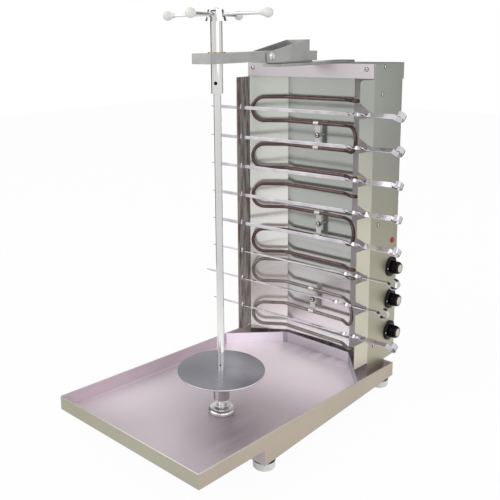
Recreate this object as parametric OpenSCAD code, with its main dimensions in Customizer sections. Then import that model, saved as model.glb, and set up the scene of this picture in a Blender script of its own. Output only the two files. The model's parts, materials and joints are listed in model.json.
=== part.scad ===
// Upright electric doner kebab grill with a turning spit, eight side skewers and a drip pan.
// Millimetres. +Z is up, +X is the control side, -Y is the front. The origin lies on the
// standing surface, midway between the four feet.

/* [Base] */
// Length of the base box that stands on the feet, front to back
base_len = 465; // [420:5:520]
// Sheet metal thickness of the pan and the housing
sheet_t = 1.5; // [1:0.1:2]
// Distance of the feet from the side faces of the pan
foot_inset_x = 22; // [22:1:40]
// Distance of the feet from the front and rear faces of the base box
foot_inset_y = 24.5; // [22:0.5:50]
// Radius of a foot pad
foot_r = 21; // [12:0.5:21]
// Height of the pale foot pad
foot_pad_h = 15.5; // [8:0.5:30]
// Height of the black rubber ring above the pad
foot_ring_h = 4.5; // [2:0.5:8]
// Radius of the screw that holds a foot
foot_screw_r = 4; // [2.5:0.5:5]

/* [Drip pan] */
// Width of the pan
pan_w = 380; // [370:5:440]
// Length of the pan in front of the base box
pan_overhang = 171; // [120:1:220]
// Height of the pan's front rim above the standing surface
pan_front_z = 90; // [84:1:110]
// Fall of the rim and the floor from front to back
pan_fall = 39; // [33:0.5:40]
// Depth of the pan's edge
pan_depth = 28.5; // [24:0.5:29]
// Height of the folded hem along the top of the rim
hem_h = 5; // [3:0.5:8]

/* [Drip guard] */
// Thickness of the guard sheets
guard_t = 1.2; // [0.8:0.1:2]
// How far in front of the rear wall the guard meets the side walls
guard_side_reach = 146; // [120:1:170]
// Overlap of the two guard sheets at the left corner
guard_lap = 12; // [6:1:20]

/* [Housing] */
// Outer width of the housing
housing_w = 336; // [330:2:360]
// Height of the top of the housing
housing_top = 723; // [700:1:800]
// How far the housing stands out behind the base box
housing_overhang = 40.5; // [30:0.5:60]
// Depth of the side panels behind the bend
panel_depth = 117; // [110:1:130]
// Depth of the front flanges that carry the skewers
flange_depth = 48; // [44:1:56]
// How far the front flanges lean in
flange_lean = 3.5; // [0:0.5:4]
// Height of the lower end of the flanges
flange_low = 70; // [66:1:80]
// Height of the underside of the housing behind the pan
housing_under = 53.5; // [53:0.5:70]
// Height of the front bar
bar_h = 30; // [24:1:36]
// Height of the skirt at the back of the roof
skirt_h = 36; // [20:1:60]
// How far the skirt stands behind the rear cover
skirt_gap = 4.5; // [3:0.5:12]

/* [Reflectors] */
// Thickness of the reflector sheets
reflector_t = 1; // [0.6:0.1:1.4]
// Width of the flat rear reflector
reflector_back_w = 178; // [160:2:190]
// Depth of the rear reflector behind the bend of the side panels
reflector_depth = 53; // [46:1:58]
// Height of the lower edge at the left
reflector_low_left = 58; // [57:1:66]
// Height of the lower edge at the right
reflector_low_right = 66; // [57:1:70]

/* [Heating elements] */
// Radius of the element tube
tube_r = 4; // [3:0.25:4.25]
// Distance between neighbouring runs of one element
run_pitch = 56; // [50:1:60]
// Heights of the middle of the three elements, from the top down
element_z = [560, 352, 164];
// Distance of the tube's centre line from the rear reflector
element_gap = 19; // [15:0.5:26]
// Bend radius at the corners, along the tube's centre line
corner_r = 18; // [14:1:24]
// Length along the left reflector from the corner to the start of the loops
left_run = 50; // [40:1:54]
// Length along the right reflector from the corner to the start of the middle loop
right_run = 19; // [12:1:26]
// Length along the right reflector from the corner to the ends that pass through it
lead_run = 35; // [30:1:44]
// Radius of the bend before each end passes through the reflector
lead_bend_r = 10; // [8:0.5:12]
// Length of a lead behind the bend
lead_len = 44; // [34:1:50]
// Outer radius of the ceramic sleeves
sleeve_r = 6.2; // [5.5:0.1:7]
// Length of the ceramic sleeves
sleeve_len = 18; // [12:1:22]
// Distance of the tube clips to the right of the middle
clip_x = [4, 10, -4];
// Width of a tube clip
clip_w = 14; // [10:1:20]
// Thickness of a tube clip
clip_t = 1.2; // [0.8:0.1:1.5]

/* [Skewers] */
// Number of skewers
skewer_count = 8; // [8:1:8]
// Height of the lowest skewer
skewer_low_z = 130; // [110:1:150]
// Distance between skewers
skewer_pitch = 70; // [60:1:72]
// Length of the blade left of the handle notch
skewer_reach = 423; // [400:1:450]
// How far the seventh skewer is pushed to the left
skewer_slip = 22; // [0:1:30]
// Width of the blade
blade_w = 8; // [6:0.5:8.5]
// Thickness of the skewer strip
strip_t = 2; // [1.5:0.1:2.5]
// Width of the strip at the handle
handle_w = 12; // [10:0.5:13]
// Length of the twisted neck
neck_len = 92; // [60:1:100]
// Length of the straight handle strip outside the notch
handle_len = 52; // [44:1:70]
// Radius of the hook at the end of the handle, along the middle of the strip
hook_r = 10.5; // [8:0.5:12]
// Length of the slanted stretch between the handle and the hook
hook_entry = 9; // [7:0.5:12]
// Turn of each handle about its skewer: 0 stands upright, 90 lies flat
handle_roll = [45, 50, 20, 25, 45, 90, 90, 60];
// Turn of each blade about its skewer: 0 stands upright, 90 lies flat
blade_roll = [0, 0, 0, 0, 0, 90, 90, 90];
// Distance of the left skewer holes behind the flange's front edge
hole_setback = 16; // [13:0.5:24]
// Distance of the right notch seats behind the flange's front edge
seat_setback = 34; // [28:0.5:38]
// Height of the notch mouth above the seat
notch_mouth = 32; // [20:1:40]

/* [Spit] */
// Distance of the spit to the right of the middle
spit_x = 40.8; // [0:0.1:60]
// Distance of the spit in front of the feet's middle
spit_y = -182.6; // [-210:0.1:-160]
// Radius of the spit rod
rod_r = 7; // [5:0.5:8]
// Height of the top of the rod
rod_top = 746; // [735:1:760]
// Radius of the bearing dome on the pan's floor
dome_r = 27; // [20:0.5:34]
// Height of the bearing dome's top
dome_top = 64; // [62:0.5:68]
// Depth of the rod's seat in the dome
dome_seat = 10; // [6:0.5:12]
// Radius of the carrier disc
disc_r = 86; // [60:1:110]
// Thickness of the carrier disc
disc_t = 3; // [2:0.5:6]
// Height of the carrier disc's upper face
disc_top = 141; // [130:1:160]
// Radius of the hub under the disc
hub_r = 16; // [12:0.5:20]
// Height of the hub's lower end
hub_low = 80; // [74:1:85]
// Direction of the hub's thumb screw, from +X towards +Y
thumb_angle = 95; // [-90:5:120]
// Height of the thumb screw above the hub's lower end
thumb_rise = 19; // [13:1:30]
// Radius of the thumb screw's ribbed head
thumb_r = 11; // [8:0.5:12]
// Length of the thumb screw's ribbed head
thumb_len = 18; // [8:1:24]
// Number of ribs on the thumb screw's head
thumb_ribs = 20; // [12:1:28]

/* [Handle tube] */
// Outer radius of the tube over the top of the rod
tube_outer_r = 11; // [9.5:0.5:12]
// Height of the tube's lower end
tube_low = 681; // [660:1:690]
// Height of the tube's upper end
tube_high = 829; // [810:1:840]
// Height of the pin hole through tube and rod
pin_z = 700; // [695:1:710]
// Radius of the pin hole
pin_r = 1.8; // [1:0.1:3]
// Distance of the ball centres from the spit's axis
ball_reach = 99; // [70:1:110]
// Radius of a ball
ball_r = 9; // [7:0.5:12]
// Direction of the first handle rod
handle_angle = 17; // [-45:1:45]
// Radius of a handle rod
handle_rod_r = 3; // [2:0.25:4]
// Height of the handle rods' centre line
handle_z = 822; // [800:1:824]
// Direction of the pin hole, from +X towards +Y
pin_angle = -62; // [-90:1:90]
// Length of the four tongues of the cap over the handle
tongue_len = 19; // [12:1:24]
// Width of a tongue
tongue_w = 10; // [6:1:12]
// How far a tongue spreads outwards
tongue_spread = 5; // [3:0.5:8]

/* [Arm] */
// Width of the roof bracket
bracket_w = 50; // [40:1:60]
// Sheet thickness of the bracket and the arm
arm_t = 2; // [1.5:0.5:3]
// Thickness of the plate that the bracket stands on
plate_t = 6; // [4:0.5:8]
// Distance that the plate reaches back over the roof
plate_reach = 89; // [60:1:100]
// Height of the pad between the plate and the bracket
pad_h = 3.5; // [2:0.5:5]
// Distance that the plate reaches in front of the feet's middle
plate_lead = 20; // [0:1:40]
// Length of the bracket in front of the feet's middle
bracket_lead = 69; // [60:1:80]
// Distance from the feet's middle to the hood's front wall
hood_front = 58; // [20:1:60]
// Distance from the feet's middle to the hood's rear wall
hood_back = 71; // [68:1:80]
// Distance from the feet's middle to the bracket's rear end
bracket_end = 98; // [85:1:110]
// Height of the hood above the arm
hood_rise = 21; // [12:1:30]
// Height of the arm's upper face
arm_top = 754; // [753:0.5:757]
// Height of the arm
arm_h = 19; // [15:0.5:19]
// Length of the arm in front of the spit
arm_nose = 41; // [30:1:60]
// Radius of the bolt through bracket and arm
arm_bolt_r = 4; // [3:0.5:5]

/* [Controls] */
// Height of the lowest knob
knob_low_z = 118; // [100:1:140]
// Distance between knobs
knob_pitch = 76; // [60:1:90]
// Distance of the knobs in front of the housing's back
knob_setback = 26; // [25:0.5:40]
// Radius of a knob's skirt
knob_r = 22.5; // [18:0.5:24]
// Height of a knob
knob_h = 23; // [18:0.5:30]
// Radius of the pale insert in a knob's cap
insert_r = 9; // [6:0.5:11]
// Radius of the switch shafts
shaft_r = 3; // [2:0.25:4]
// Height of the indicator lamp
lamp_z = 331; // [320:1:400]
// Radius of the indicator lens
lamp_r = 6.5; // [4:0.5:8]

/* [Fits] */
// Radial clearance of a part that turns or slides in its hole
run_clear = 0.05; // [0.02:0.01:0.1]
// Gap between sheets that only lie close together
lay_gap = 0.3; // [0.1:0.05:0.5]
// Radius of the sheet metal screws
screw_r = 2; // [1.5:0.25:3]
// Radius of the sheet metal screws' heads
screw_head_r = 4; // [3:0.25:5]

/* [Hidden] */
$fn = 48;
eps = 0.01;
far = 2000;

// Heights and places that several pieces share
base_z = foot_pad_h + foot_ring_h;
base_front = -base_len / 2;
base_back = base_len / 2;
pan_front = base_front - pan_overhang;
pan_len = base_len + pan_overhang;
pan_slope = pan_fall / pan_len;
pan_in = pan_w / 2 - sheet_t;
foot_x = pan_w / 2 - foot_inset_x;
foot_y = base_len / 2 - foot_inset_y;
housing_back = base_back + housing_overhang;
bend_y = housing_back - panel_depth;
flange_y = bend_y - flange_depth;
panel_x = housing_w / 2;
panel_in = panel_x - sheet_t;
bar_low = housing_top - bar_h;
roof_low = housing_top - sheet_t;
flange_top = bar_low - 1.5;
back_y = bend_y + reflector_depth;
back_half = reflector_back_w / 2;

function rim_z(y) = pan_front_z - (y - pan_front) * pan_slope;
function floor_z(y) = rim_z(y) - pan_depth + sheet_t;

// Reflector corners, seen from above, from the left panel to the right one
side_start = [panel_in - reflector_t, bend_y + 1];
side_angle = atan2(back_y - side_start[1], side_start[0] - back_half);
reflector_top = housing_top - 8;

// The element's centre line runs parallel to the reflectors
run_y = back_y - element_gap;
corner_x = back_half - element_gap * tan(side_angle / 2);
loop_r = run_pitch / 2;
corner_cut = corner_r * tan(side_angle / 2);
run_z = [1.5 * run_pitch, 0.5 * run_pitch, -0.5 * run_pitch, -1.5 * run_pitch];
lead_hole_r = sleeve_r + lay_gap / 2;

// Skewers lie across the housing, a little further back on the right
hole_y = flange_y + hole_setback;
seat_y = flange_y + seat_setback;
seat_x = panel_x - flange_lean * (1 - seat_setback / flange_depth) - sheet_t / 2;
skew = atan2(seat_y - hole_y, 2 * seat_x);
seat_r = norm([handle_w, strip_t]) / 2 + 0.3;
hole_r = norm([blade_w, strip_t]) / 2 + 0.3;
function skewer_z(n) = skewer_low_z + (skewer_count - n) * skewer_pitch;

bracket_left = spit_x - bracket_w / 2;
plate_low = housing_top;
bracket_low = plate_low + plate_t + pad_h;
plate_back = bend_y + plate_reach;
hood_top = arm_top + hood_rise;
step_top = arm_top - 2;
bolt_y = 16 - bracket_lead;
bolt_z = arm_top - arm_h / 2;
arm_half = bracket_w / 2 - arm_t - 0.2;
arm_front = spit_y - arm_nose;
arm_back = hood_front - 4;
bush_r = tube_outer_r + 3;

function knob_z(n) = knob_low_z + (3 - n) * knob_pitch;
knob_y = housing_back - knob_setback;
collar_r = shaft_r + 2;
gland_x = -110;
gland_z = 86;
gland_r = 8;

// Lips of the rear cover, and the height of its screws
rear_lip = 10;
rear_screw_z = [housing_under + 36, (housing_under + roof_low) / 2, roof_low - 51];
thumb_z = hub_low + thumb_rise;
handle_collar_r = tube_outer_r + 1.5;

// Places of the sheet metal screws on the right side panel: distance behind the bend, height
side_screws = [[41, housing_top - 7], [32, 660], [30, 380], [26, 102]];
bar_screw_x = panel_x - 15;
bar_screw_z = housing_top - 11;

// A flat plate in the YZ plane, w wide, centred on x
module side_profile(points, w, x = 0) {
    translate([x - w / 2, 0, 0])
        rotate([90, 0, 90])
            linear_extrude(height = w)
                polygon(points);
}

// The sheet of thickness t between two points seen from above; the sheet lies to the left
module wall_2d(a, b, t) {
    len = norm(b - a);
    translate(a)
        rotate(atan2(b[1] - a[1], b[0] - a[0]))
            square([len, t]);
}

// Everything above the pan's floor, which falls to the back
module above_floor(lift = 0) {
    translate([-far / 2, pan_front, floor_z(pan_front) + lift])
        rotate([-atan(pan_slope), 0, 0])
            translate([0, -far / 2, 0])
                cube([far, far, far]);
}

module at_feet() {
    for (x = [-foot_x, foot_x], y = [-foot_y, foot_y])
        translate([x, y, 0])
            children();
}

// Outline of the pan from the side, drawn in by d from the front, the back and the underside
module pan_side(d, w) {
    side_profile([[pan_front + d, rim_z(pan_front + d) + (d > 0 ? 10 : 0)],
        [pan_front + d, floor_z(pan_front + d) - sheet_t + d],
        [base_back - d, floor_z(base_back - d) - sheet_t + d],
        [base_back - d, rim_z(base_back - d) + (d > 0 ? 10 : 0)]], w);
}

module drip_pan() {
    color([0.72, 0.68, 0.69])
        difference() {
            union() {
                pan_side(0, pan_w);
                side_profile([[base_front, base_z], [base_back, base_z],
                    [base_back, floor_z(base_back)], [base_front, floor_z(base_front)]], pan_w);
            }
            // the tray, narrower along the folded hem
            pan_side(2 * sheet_t, pan_w - 4 * sheet_t);
            intersection() {
                pan_side(sheet_t, 2 * pan_in);
                translate([0, 0, -hem_h])
                    side_profile([[pan_front, rim_z(pan_front)], [base_back, rim_z(base_back)],
                        [base_back, 0], [pan_front, 0]], pan_w);
            }
            // the space under the floor, open below
            side_profile([[base_front + sheet_t, base_z - 1], [base_back - sheet_t, base_z - 1],
                [base_back - sheet_t, floor_z(base_back - sheet_t) - sheet_t],
                [base_front + sheet_t, floor_z(base_front + sheet_t) - sheet_t]], 2 * pan_in);
        }
}

module base_plate() {
    color([0.6, 0.6, 0.6])
        difference() {
            translate([-pan_in, base_front + sheet_t, base_z])
                cube([2 * pan_in, base_len - 2 * sheet_t, sheet_t]);
            at_feet()
                translate([0, 0, base_z - 1])
                    cylinder(r = foot_screw_r + run_clear, h = sheet_t + 2);
        }
}

module feet() {
    color([0.9, 0.9, 0.86])
        at_feet()
            difference() {
                union() {
                    cylinder(r1 = foot_r - 1.5, r2 = foot_r, h = 2);
                    translate([0, 0, 2])
                        cylinder(r = foot_r, h = foot_pad_h - 2);
                }
                translate([0, 0, 4])
                    cylinder(r = foot_screw_r + run_clear, h = foot_pad_h);
            }
}

module foot_rings() {
    color([0.08, 0.08, 0.08])
        at_feet()
            difference() {
                translate([0, 0, foot_pad_h])
                    cylinder(r = foot_r + 0.8, h = foot_ring_h);
                translate([0, 0, foot_pad_h - 1])
                    cylinder(r = foot_screw_r + run_clear, h = foot_ring_h + 2);
            }
}

module foot_screws() {
    color([0.65, 0.65, 0.65])
        at_feet() {
            translate([0, 0, 4])
                cylinder(r = foot_screw_r, h = base_z + sheet_t - 4);
            translate([0, 0, base_z + sheet_t])
                cylinder(r = 2 * foot_screw_r, h = 1.2);
        }
}

// The height band of the guard, from the pan's floor up to the plane of the rim
module guard_band() {
    side_profile([[base_front, floor_z(base_front)], [base_back, floor_z(base_back)],
        [base_back, rim_z(base_back) - 0.5], [base_front, rim_z(base_front) - 0.5]], pan_w);
}

guard_x = pan_in - sheet_t - lay_gap;
guard_y = base_back - guard_side_reach;
guard_slope = atan2(back_y - guard_y, guard_x - back_half);

module left_drip_guard() {
    color([0.8, 0.76, 0.8])
        intersection() {
            guard_band();
            linear_extrude(height = far)
                wall_2d([-guard_x, guard_y], [-back_half, back_y], guard_t);
        }
}

module right_drip_guard() {
    lap = [-back_half + guard_t * sin(guard_slope) - guard_lap * cos(guard_slope),
        back_y - guard_t * cos(guard_slope) - guard_lap * sin(guard_slope)];
    corner = [-back_half + guard_t * tan(guard_slope / 2), back_y - guard_t];
    color([0.8, 0.76, 0.8])
        intersection() {
            guard_band();
            linear_extrude(height = far)
                polygon([lap, corner, [back_half - guard_t * tan(guard_slope / 2), back_y - guard_t],
                    [guard_x, guard_y - guard_t], [guard_x, guard_y + 0.2],
                    [back_half, back_y], [-back_half, back_y],
                    [-back_half - guard_lap * cos(guard_slope),
                        back_y - guard_lap * sin(guard_slope)]]);
        }
}

// One side panel with its front flange bent in, as it lies on the right
module panel_sheet() {
    panel_foot = base_back - 2 * sheet_t - 1;
    round_r = 10;
    intersection() {
        linear_extrude(height = far)
            polygon([[panel_x - flange_lean, flange_y], [panel_x, bend_y],
                [panel_x, housing_back], [panel_in, housing_back], [panel_in, bend_y],
                [panel_in - flange_lean, flange_y]]);
        rotate([90, 0, 90])
            linear_extrude(height = far)
                difference() {
                    polygon([[flange_y, flange_low], [flange_y, flange_top],
                        [bend_y, flange_top], [bend_y, roof_low], [housing_back, roof_low],
                        [housing_back, housing_under], [panel_foot, housing_under],
                        [panel_foot, floor_z(panel_foot)], [bend_y, floor_z(bend_y)],
                        [bend_y, flange_low]]);
                    // rounded upper front corner
                    translate([flange_y, flange_top - round_r])
                        difference() {
                            translate([-1, 0])
                                square([round_r + 1, round_r + 1]);
                            translate([round_r, 0])
                                circle(r = round_r);
                        }
                }
        children();
    }
}

// Cuts one open notch in the right flange, with a round seat for the skewer
module notch_cut(z) {
    rotate([90, 0, 90])
        linear_extrude(height = far)
            translate([seat_y, z]) {
                circle(r = seat_r);
                polygon([[0, -0.85 * seat_r], [-seat_setback - 1, -0.85 * seat_r],
                    [-seat_setback - 1, notch_mouth - seat_r], [-seat_setback, notch_mouth - seat_r],
                    [0.7 * seat_r, 0.5 * seat_r]]);
            }
}

// Cuts one closed hole in the left flange: round below, pointed above
module pointed_cut(z) {
    rotate([90, 0, 90])
        linear_extrude(height = far)
            translate([hole_y, z]) {
                circle(r = hole_r);
                polygon([[-0.7 * hole_r, 0.5 * hole_r], [0.7 * hole_r, 0.5 * hole_r],
                    [0, hole_r + 7]]);
            }
}

module screw_holes_x() {
    for (s = side_screws)
        translate([panel_x - 10, bend_y + s[0], s[1]])
            rotate([0, 90, 0])
                cylinder(r = screw_r + run_clear, h = 20);
}

module right_side_panel() {
    color([0.6, 0.62, 0.58])
        difference() {
            panel_sheet()
                cube(far);
            for (n = [1 : skewer_count])
                notch_cut(skewer_z(n));
            screw_holes_x();
            for (n = [1 : 3])
                translate([panel_in - 1, knob_y, knob_z(n)])
                    rotate([0, 90, 0])
                        cylinder(r = collar_r + run_clear, h = 5);
            translate([panel_in - 1, knob_y + 3, lamp_z])
                rotate([0, 90, 0])
                    cylinder(r = lamp_r - 1.5 + run_clear, h = 5);
        }
}

module left_side_panel() {
    color([0.6, 0.62, 0.58])
        mirror([1, 0, 0])
            difference() {
                panel_sheet()
                    cube(far);
                for (n = [1 : skewer_count])
                    pointed_cut(skewer_z(n));
                screw_holes_x();
            }
}

module rear_cover() {
    half = panel_in - lay_gap / 2;
    lip = rear_lip;
    y_in = housing_back - sheet_t;
    color([0.62, 0.62, 0.6])
        difference() {
            union() {
                translate([-half, y_in, housing_under])
                    cube([2 * half, sheet_t, roof_low - housing_under - lay_gap]);
                for (s = [-1, 1])
                    translate([s > 0 ? half - sheet_t : -half, y_in - lip, housing_under])
                        cube([sheet_t, lip + eps, roof_low - housing_under - lay_gap]);
                translate([-half, base_back + 2, housing_under])
                    cube([2 * half, y_in - base_back - 2 + eps, sheet_t]);
            }
            // two fields of vent slots
            for (x = [-90, 30], z0 = [120, 560], i = [0 : 5])
                translate([x, y_in - 1, z0 + i * 16])
                    cube([60, sheet_t + 2, 5]);
            translate([gland_x, y_in - 1, gland_z])
                rotate([-90, 0, 0])
                    cylinder(r = gland_r + run_clear, h = sheet_t + 2);
            for (x = [-half + 5, half - 5], z = rear_screw_z)
                translate([x, y_in - 1, z])
                    rotate([-90, 0, 0])
                        cylinder(r = screw_r + run_clear, h = sheet_t + 2);
        }
}

module roof_cover() {
    ear_y = housing_back + lay_gap;
    skirt_y = housing_back + skirt_gap;
    skirt_low = housing_top - skirt_h;
    color([0.7, 0.7, 0.68])
        union() {
            translate([-panel_x, bend_y + lay_gap, roof_low])
                cube([housing_w, skirt_y + sheet_t - bend_y - lay_gap, sheet_t]);
            translate([-panel_x, skirt_y, skirt_low])
                cube([housing_w, sheet_t, skirt_h]);
            for (s = [-1, 1])
                translate([s > 0 ? panel_in : -panel_x, ear_y, skirt_low])
                    cube([sheet_t, skirt_y - ear_y + eps, skirt_h]);
        }
}

module top_bar() {
    face_right = panel_x - 2;
    return_half = panel_in - 22;
    return_depth = 12;
    color([0.78, 0.76, 0.77])
        difference() {
            union() {
                translate([-panel_x, bend_y - sheet_t, bar_low])
                    cube([panel_x + face_right, sheet_t, bar_h]);
                for (z = [bar_low, roof_low - sheet_t - lay_gap])
                    translate([-return_half, bend_y - eps, z])
                        cube([2 * return_half, return_depth, sheet_t]);
            }
            for (x = [-bar_screw_x, bar_screw_x - 4])
                translate([x, bend_y - 5, bar_screw_z])
                    rotate([-90, 0, 0])
                        cylinder(r = screw_r + run_clear, h = 10);
        }
}

// The left and right reflectors are mirror images apart from their height and the lead holes
module side_reflector(low) {
    translate([0, 0, low])
        linear_extrude(height = reflector_top - low)
            wall_2d([back_half, back_y], side_start, reflector_t);
}

module left_reflector() {
    color([0.77, 0.79, 0.74])
        mirror([1, 0, 0])
            side_reflector(reflector_low_left);
}

module back_reflector() {
    color([0.66, 0.66, 0.64])
        difference() {
            translate([0, back_y + reflector_t, 0])
                rotate([90, 0, 0])
                    linear_extrude(height = reflector_t)
                        polygon([[-back_half, reflector_low_left], [back_half, reflector_low_right],
                            [back_half, reflector_top], [-back_half, reflector_top]]);
            for (i = [0 : 2])
                translate([clip_x[i], back_y - 1, element_z[i]])
                    rotate([-90, 0, 0])
                        cylinder(r = screw_r + run_clear, h = reflector_t + 2);
        }
}

module right_reflector() {
    color([0.72, 0.72, 0.7])
        difference() {
            side_reflector(reflector_low_right);
            for (i = [0 : 2], j = [0, 3])
                at_right_facet()
                    translate([lead_run, 0, element_z[i] + run_z[j]])
                        rotate([-90, 0, 0])
                            cylinder(r = lead_hole_r, h = element_gap + 10);
        }
}

// Moves children to the start of the right or left side stretch: +X there runs along the stretch
module at_right_facet() {
    translate([corner_x, run_y, 0])
        rotate(-side_angle)
            children();
}

module at_left_facet() {
    translate([-corner_x, run_y, 0])
        rotate(180 + side_angle)
            children();
}

// A straight stretch of tube with a hair's breadth of collar where it meets a bend
module tube_x(x0, x1) {
    translate([x0, 0, 0])
        rotate([0, 90, 0])
            cylinder(r = tube_r, h = x1 - x0);
    for (x = [x0, x1])
        translate([x, 0, 0])
            rotate([0, 90, 0])
                cylinder(r = tube_r + 0.03, h = 0.4, center = true);
}

// A bend of the tube about the vertical axis, starting at -Y and turning anticlockwise
module tube_bend(radius, angle) {
    rotate(-90)
        rotate_extrude(angle = angle)
            translate([radius, 0])
                circle(r = tube_r);
}

// A half-circle loop in the XZ plane that joins two runs
module tube_loop() {
    rotate([90, 0, 0])
        rotate(-90)
            rotate_extrude(angle = 180)
                translate([loop_r, 0])
                    circle(r = tube_r);
}

module heating_element(z) {
    straight = corner_x - corner_cut;
    translate([0, 0, z]) {
        for (i = [0 : 3])
            translate([0, 0, run_z[i]]) {
                translate([0, run_y, 0])
                    tube_x(-straight, straight);
                translate([straight, run_y - corner_r, 0])
                    rotate(180 - side_angle)
                        tube_bend(corner_r, side_angle);
                translate([-straight, run_y - corner_r, 0])
                    rotate(180)
                        tube_bend(corner_r, side_angle);
                at_left_facet()
                    tube_x(corner_cut, left_run);
                at_right_facet()
                    tube_x(corner_cut, i == 1 || i == 2 ? right_run : lead_run - lead_bend_r);
            }
        at_left_facet()
            for (k = [-1, 1])
                translate([left_run, 0, k * run_pitch])
                    tube_loop();
        at_right_facet() {
            translate([right_run, 0, 0])
                tube_loop();
            for (i = [0, 3])
                translate([lead_run - lead_bend_r, lead_bend_r, run_z[i]]) {
                    tube_bend(lead_bend_r, 90);
                    translate([lead_bend_r, 0, 0])
                        rotate(90)
                            tube_x(0, lead_len - lead_bend_r);
                    translate([lead_bend_r, lead_len - lead_bend_r - eps, 0])
                        rotate([-90, 0, 0])
                            cylinder(r = 1.6, h = 12);
                }
        }
    }
}

module heating_element_1() {
    color([0.28, 0.2, 0.19])
        heating_element(element_z[0]);
}

module heating_element_2() {
    color([0.28, 0.2, 0.19])
        heating_element(element_z[1]);
}

module heating_element_3() {
    color([0.43, 0.41, 0.38])
        heating_element(element_z[2]);
}

// Strips behind the two middle runs of each element, wrapped round them, with a spacer and screw
module element_clips() {
    ring_r = tube_r + clip_t;
    color([0.7, 0.69, 0.68])
        for (i = [0 : 2])
            translate([clip_x[i], run_y, element_z[i]]) {
                for (z = [loop_r, -loop_r])
                    translate([-clip_w / 2, 0, z])
                        rotate([0, 90, 0])
                            difference() {
                                cylinder(r = ring_r, h = clip_w);
                                translate([0, 0, -1])
                                    cylinder(r = tube_r, h = clip_w + 2);
                            }
                difference() {
                    translate([-clip_w / 2, tube_r, -loop_r])
                        cube([clip_w, clip_t, run_pitch]);
                    translate([0, tube_r - 1, 0])
                        rotate([-90, 0, 0])
                            cylinder(r = screw_r, h = clip_t + 2);
                }
                translate([0, tube_r + clip_t, 0])
                    rotate([-90, 0, 0])
                        difference() {
                            cylinder(r = screw_r + 2, h = element_gap - tube_r - clip_t);
                            translate([0, 0, -1])
                                cylinder(r = screw_r, h = far);
                        }
                translate([0, tube_r, 0])
                    rotate([-90, 0, 0]) {
                        cylinder(r = screw_r, h = element_gap - tube_r + reflector_t + 3);
                        translate([0, 0, -1.8])
                            cylinder(r1 = screw_head_r - 1, r2 = screw_head_r, h = 1.8);
                    }
            }
}

module terminal_sleeves() {
    color([0.86, 0.82, 0.7])
        for (i = [0 : 2], j = [0, 3])
            at_right_facet()
                translate([lead_run, lead_bend_r + 1, element_z[i] + run_z[j]])
                    rotate([-90, 0, 0])
                        difference() {
                            cylinder(r = sleeve_r, h = sleeve_len);
                            translate([0, 0, -1])
                                cylinder(r = tube_r, h = sleeve_len + 2);
                        }
}

module rotary_switches() {
    body_w = 42;
    body_y = 2 * (knob_setback - sheet_t - rear_lip - 1);
    body_d = 36;
    color([0.25, 0.25, 0.27])
        for (n = [1 : 3])
            translate([panel_in, knob_y, knob_z(n)])
                rotate([0, -90, 0])
                    difference() {
                        union() {
                            translate([-body_w / 2, -body_y / 2, 0])
                                cube([body_w, body_y, body_d]);
                            translate([0, 0, -sheet_t - 0.2])
                                cylinder(r = collar_r, h = sheet_t + 1);
                            for (x = [-12, 0, 12], y = [-8, 8])
                                translate([x - 0.4, y - 3, body_d - eps])
                                    cube([0.8, 6.3, 9]);
                        }
                        translate([0, 0, -sheet_t - 1])
                            cylinder(r = shaft_r + run_clear, h = 20);
                    }
}

module indicator_lamp() {
    color([0.75, 0.08, 0.12])
        translate([panel_x, knob_y + 3, lamp_z])
            rotate([0, 90, 0])
                union() {
                    cylinder(r = lamp_r, h = 1.5);
                    translate([0, 0, 1.5 - eps])
                        cylinder(r1 = lamp_r - 0.5, r2 = lamp_r - 2, h = 2);
                    translate([0, 0, -22])
                        cylinder(r = lamp_r - 1.5, h = 22 + eps);
                }
}

module terminal_block() {
    color([0.85, 0.85, 0.8])
        translate([-145, housing_back - sheet_t - 16, gland_z + 30])
            difference() {
                cube([60, 16, 26]);
                for (i = [0 : 4])
                    translate([6 + 12 * i, -1, 13])
                        rotate([-90, 0, 0])
                            cylinder(r = 3, h = 9);
            }
}

// Screwed cable entry at the back: nut outside, locknut inside
module cable_gland() {
    color([0.12, 0.12, 0.12])
        translate([gland_x, housing_back, gland_z])
            rotate([-90, 0, 0])
                difference() {
                    union() {
                        translate([0, 0, -sheet_t - 8])
                            cylinder(r = gland_r, h = sheet_t + 8 + eps);
                        cylinder(r = gland_r + 4, h = 5, $fn = 6);
                        translate([0, 0, 5 - eps])
                            cylinder(r = gland_r + 1, h = 6);
                        translate([0, 0, 11 - 2 * eps])
                            cylinder(r1 = gland_r + 1, r2 = gland_r - 1.5, h = 7);
                        translate([0, 0, -sheet_t - 4])
                            cylinder(r = gland_r + 4, h = 4, $fn = 6);
                    }
                    translate([0, 0, -20])
                        cylinder(r = 5, h = 60);
                }
}

module bracket_plate() {
    color([0.66, 0.66, 0.65])
        union() {
            translate([bracket_left, -plate_lead, plate_low])
                cube([bracket_w, plate_back + plate_lead, plate_t]);
            translate([bracket_left + 8, 4 - plate_lead, plate_low + plate_t - eps])
                cube([bracket_w - 16, bracket_end + plate_lead - 10, pad_h + eps]);
        }
}

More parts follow.
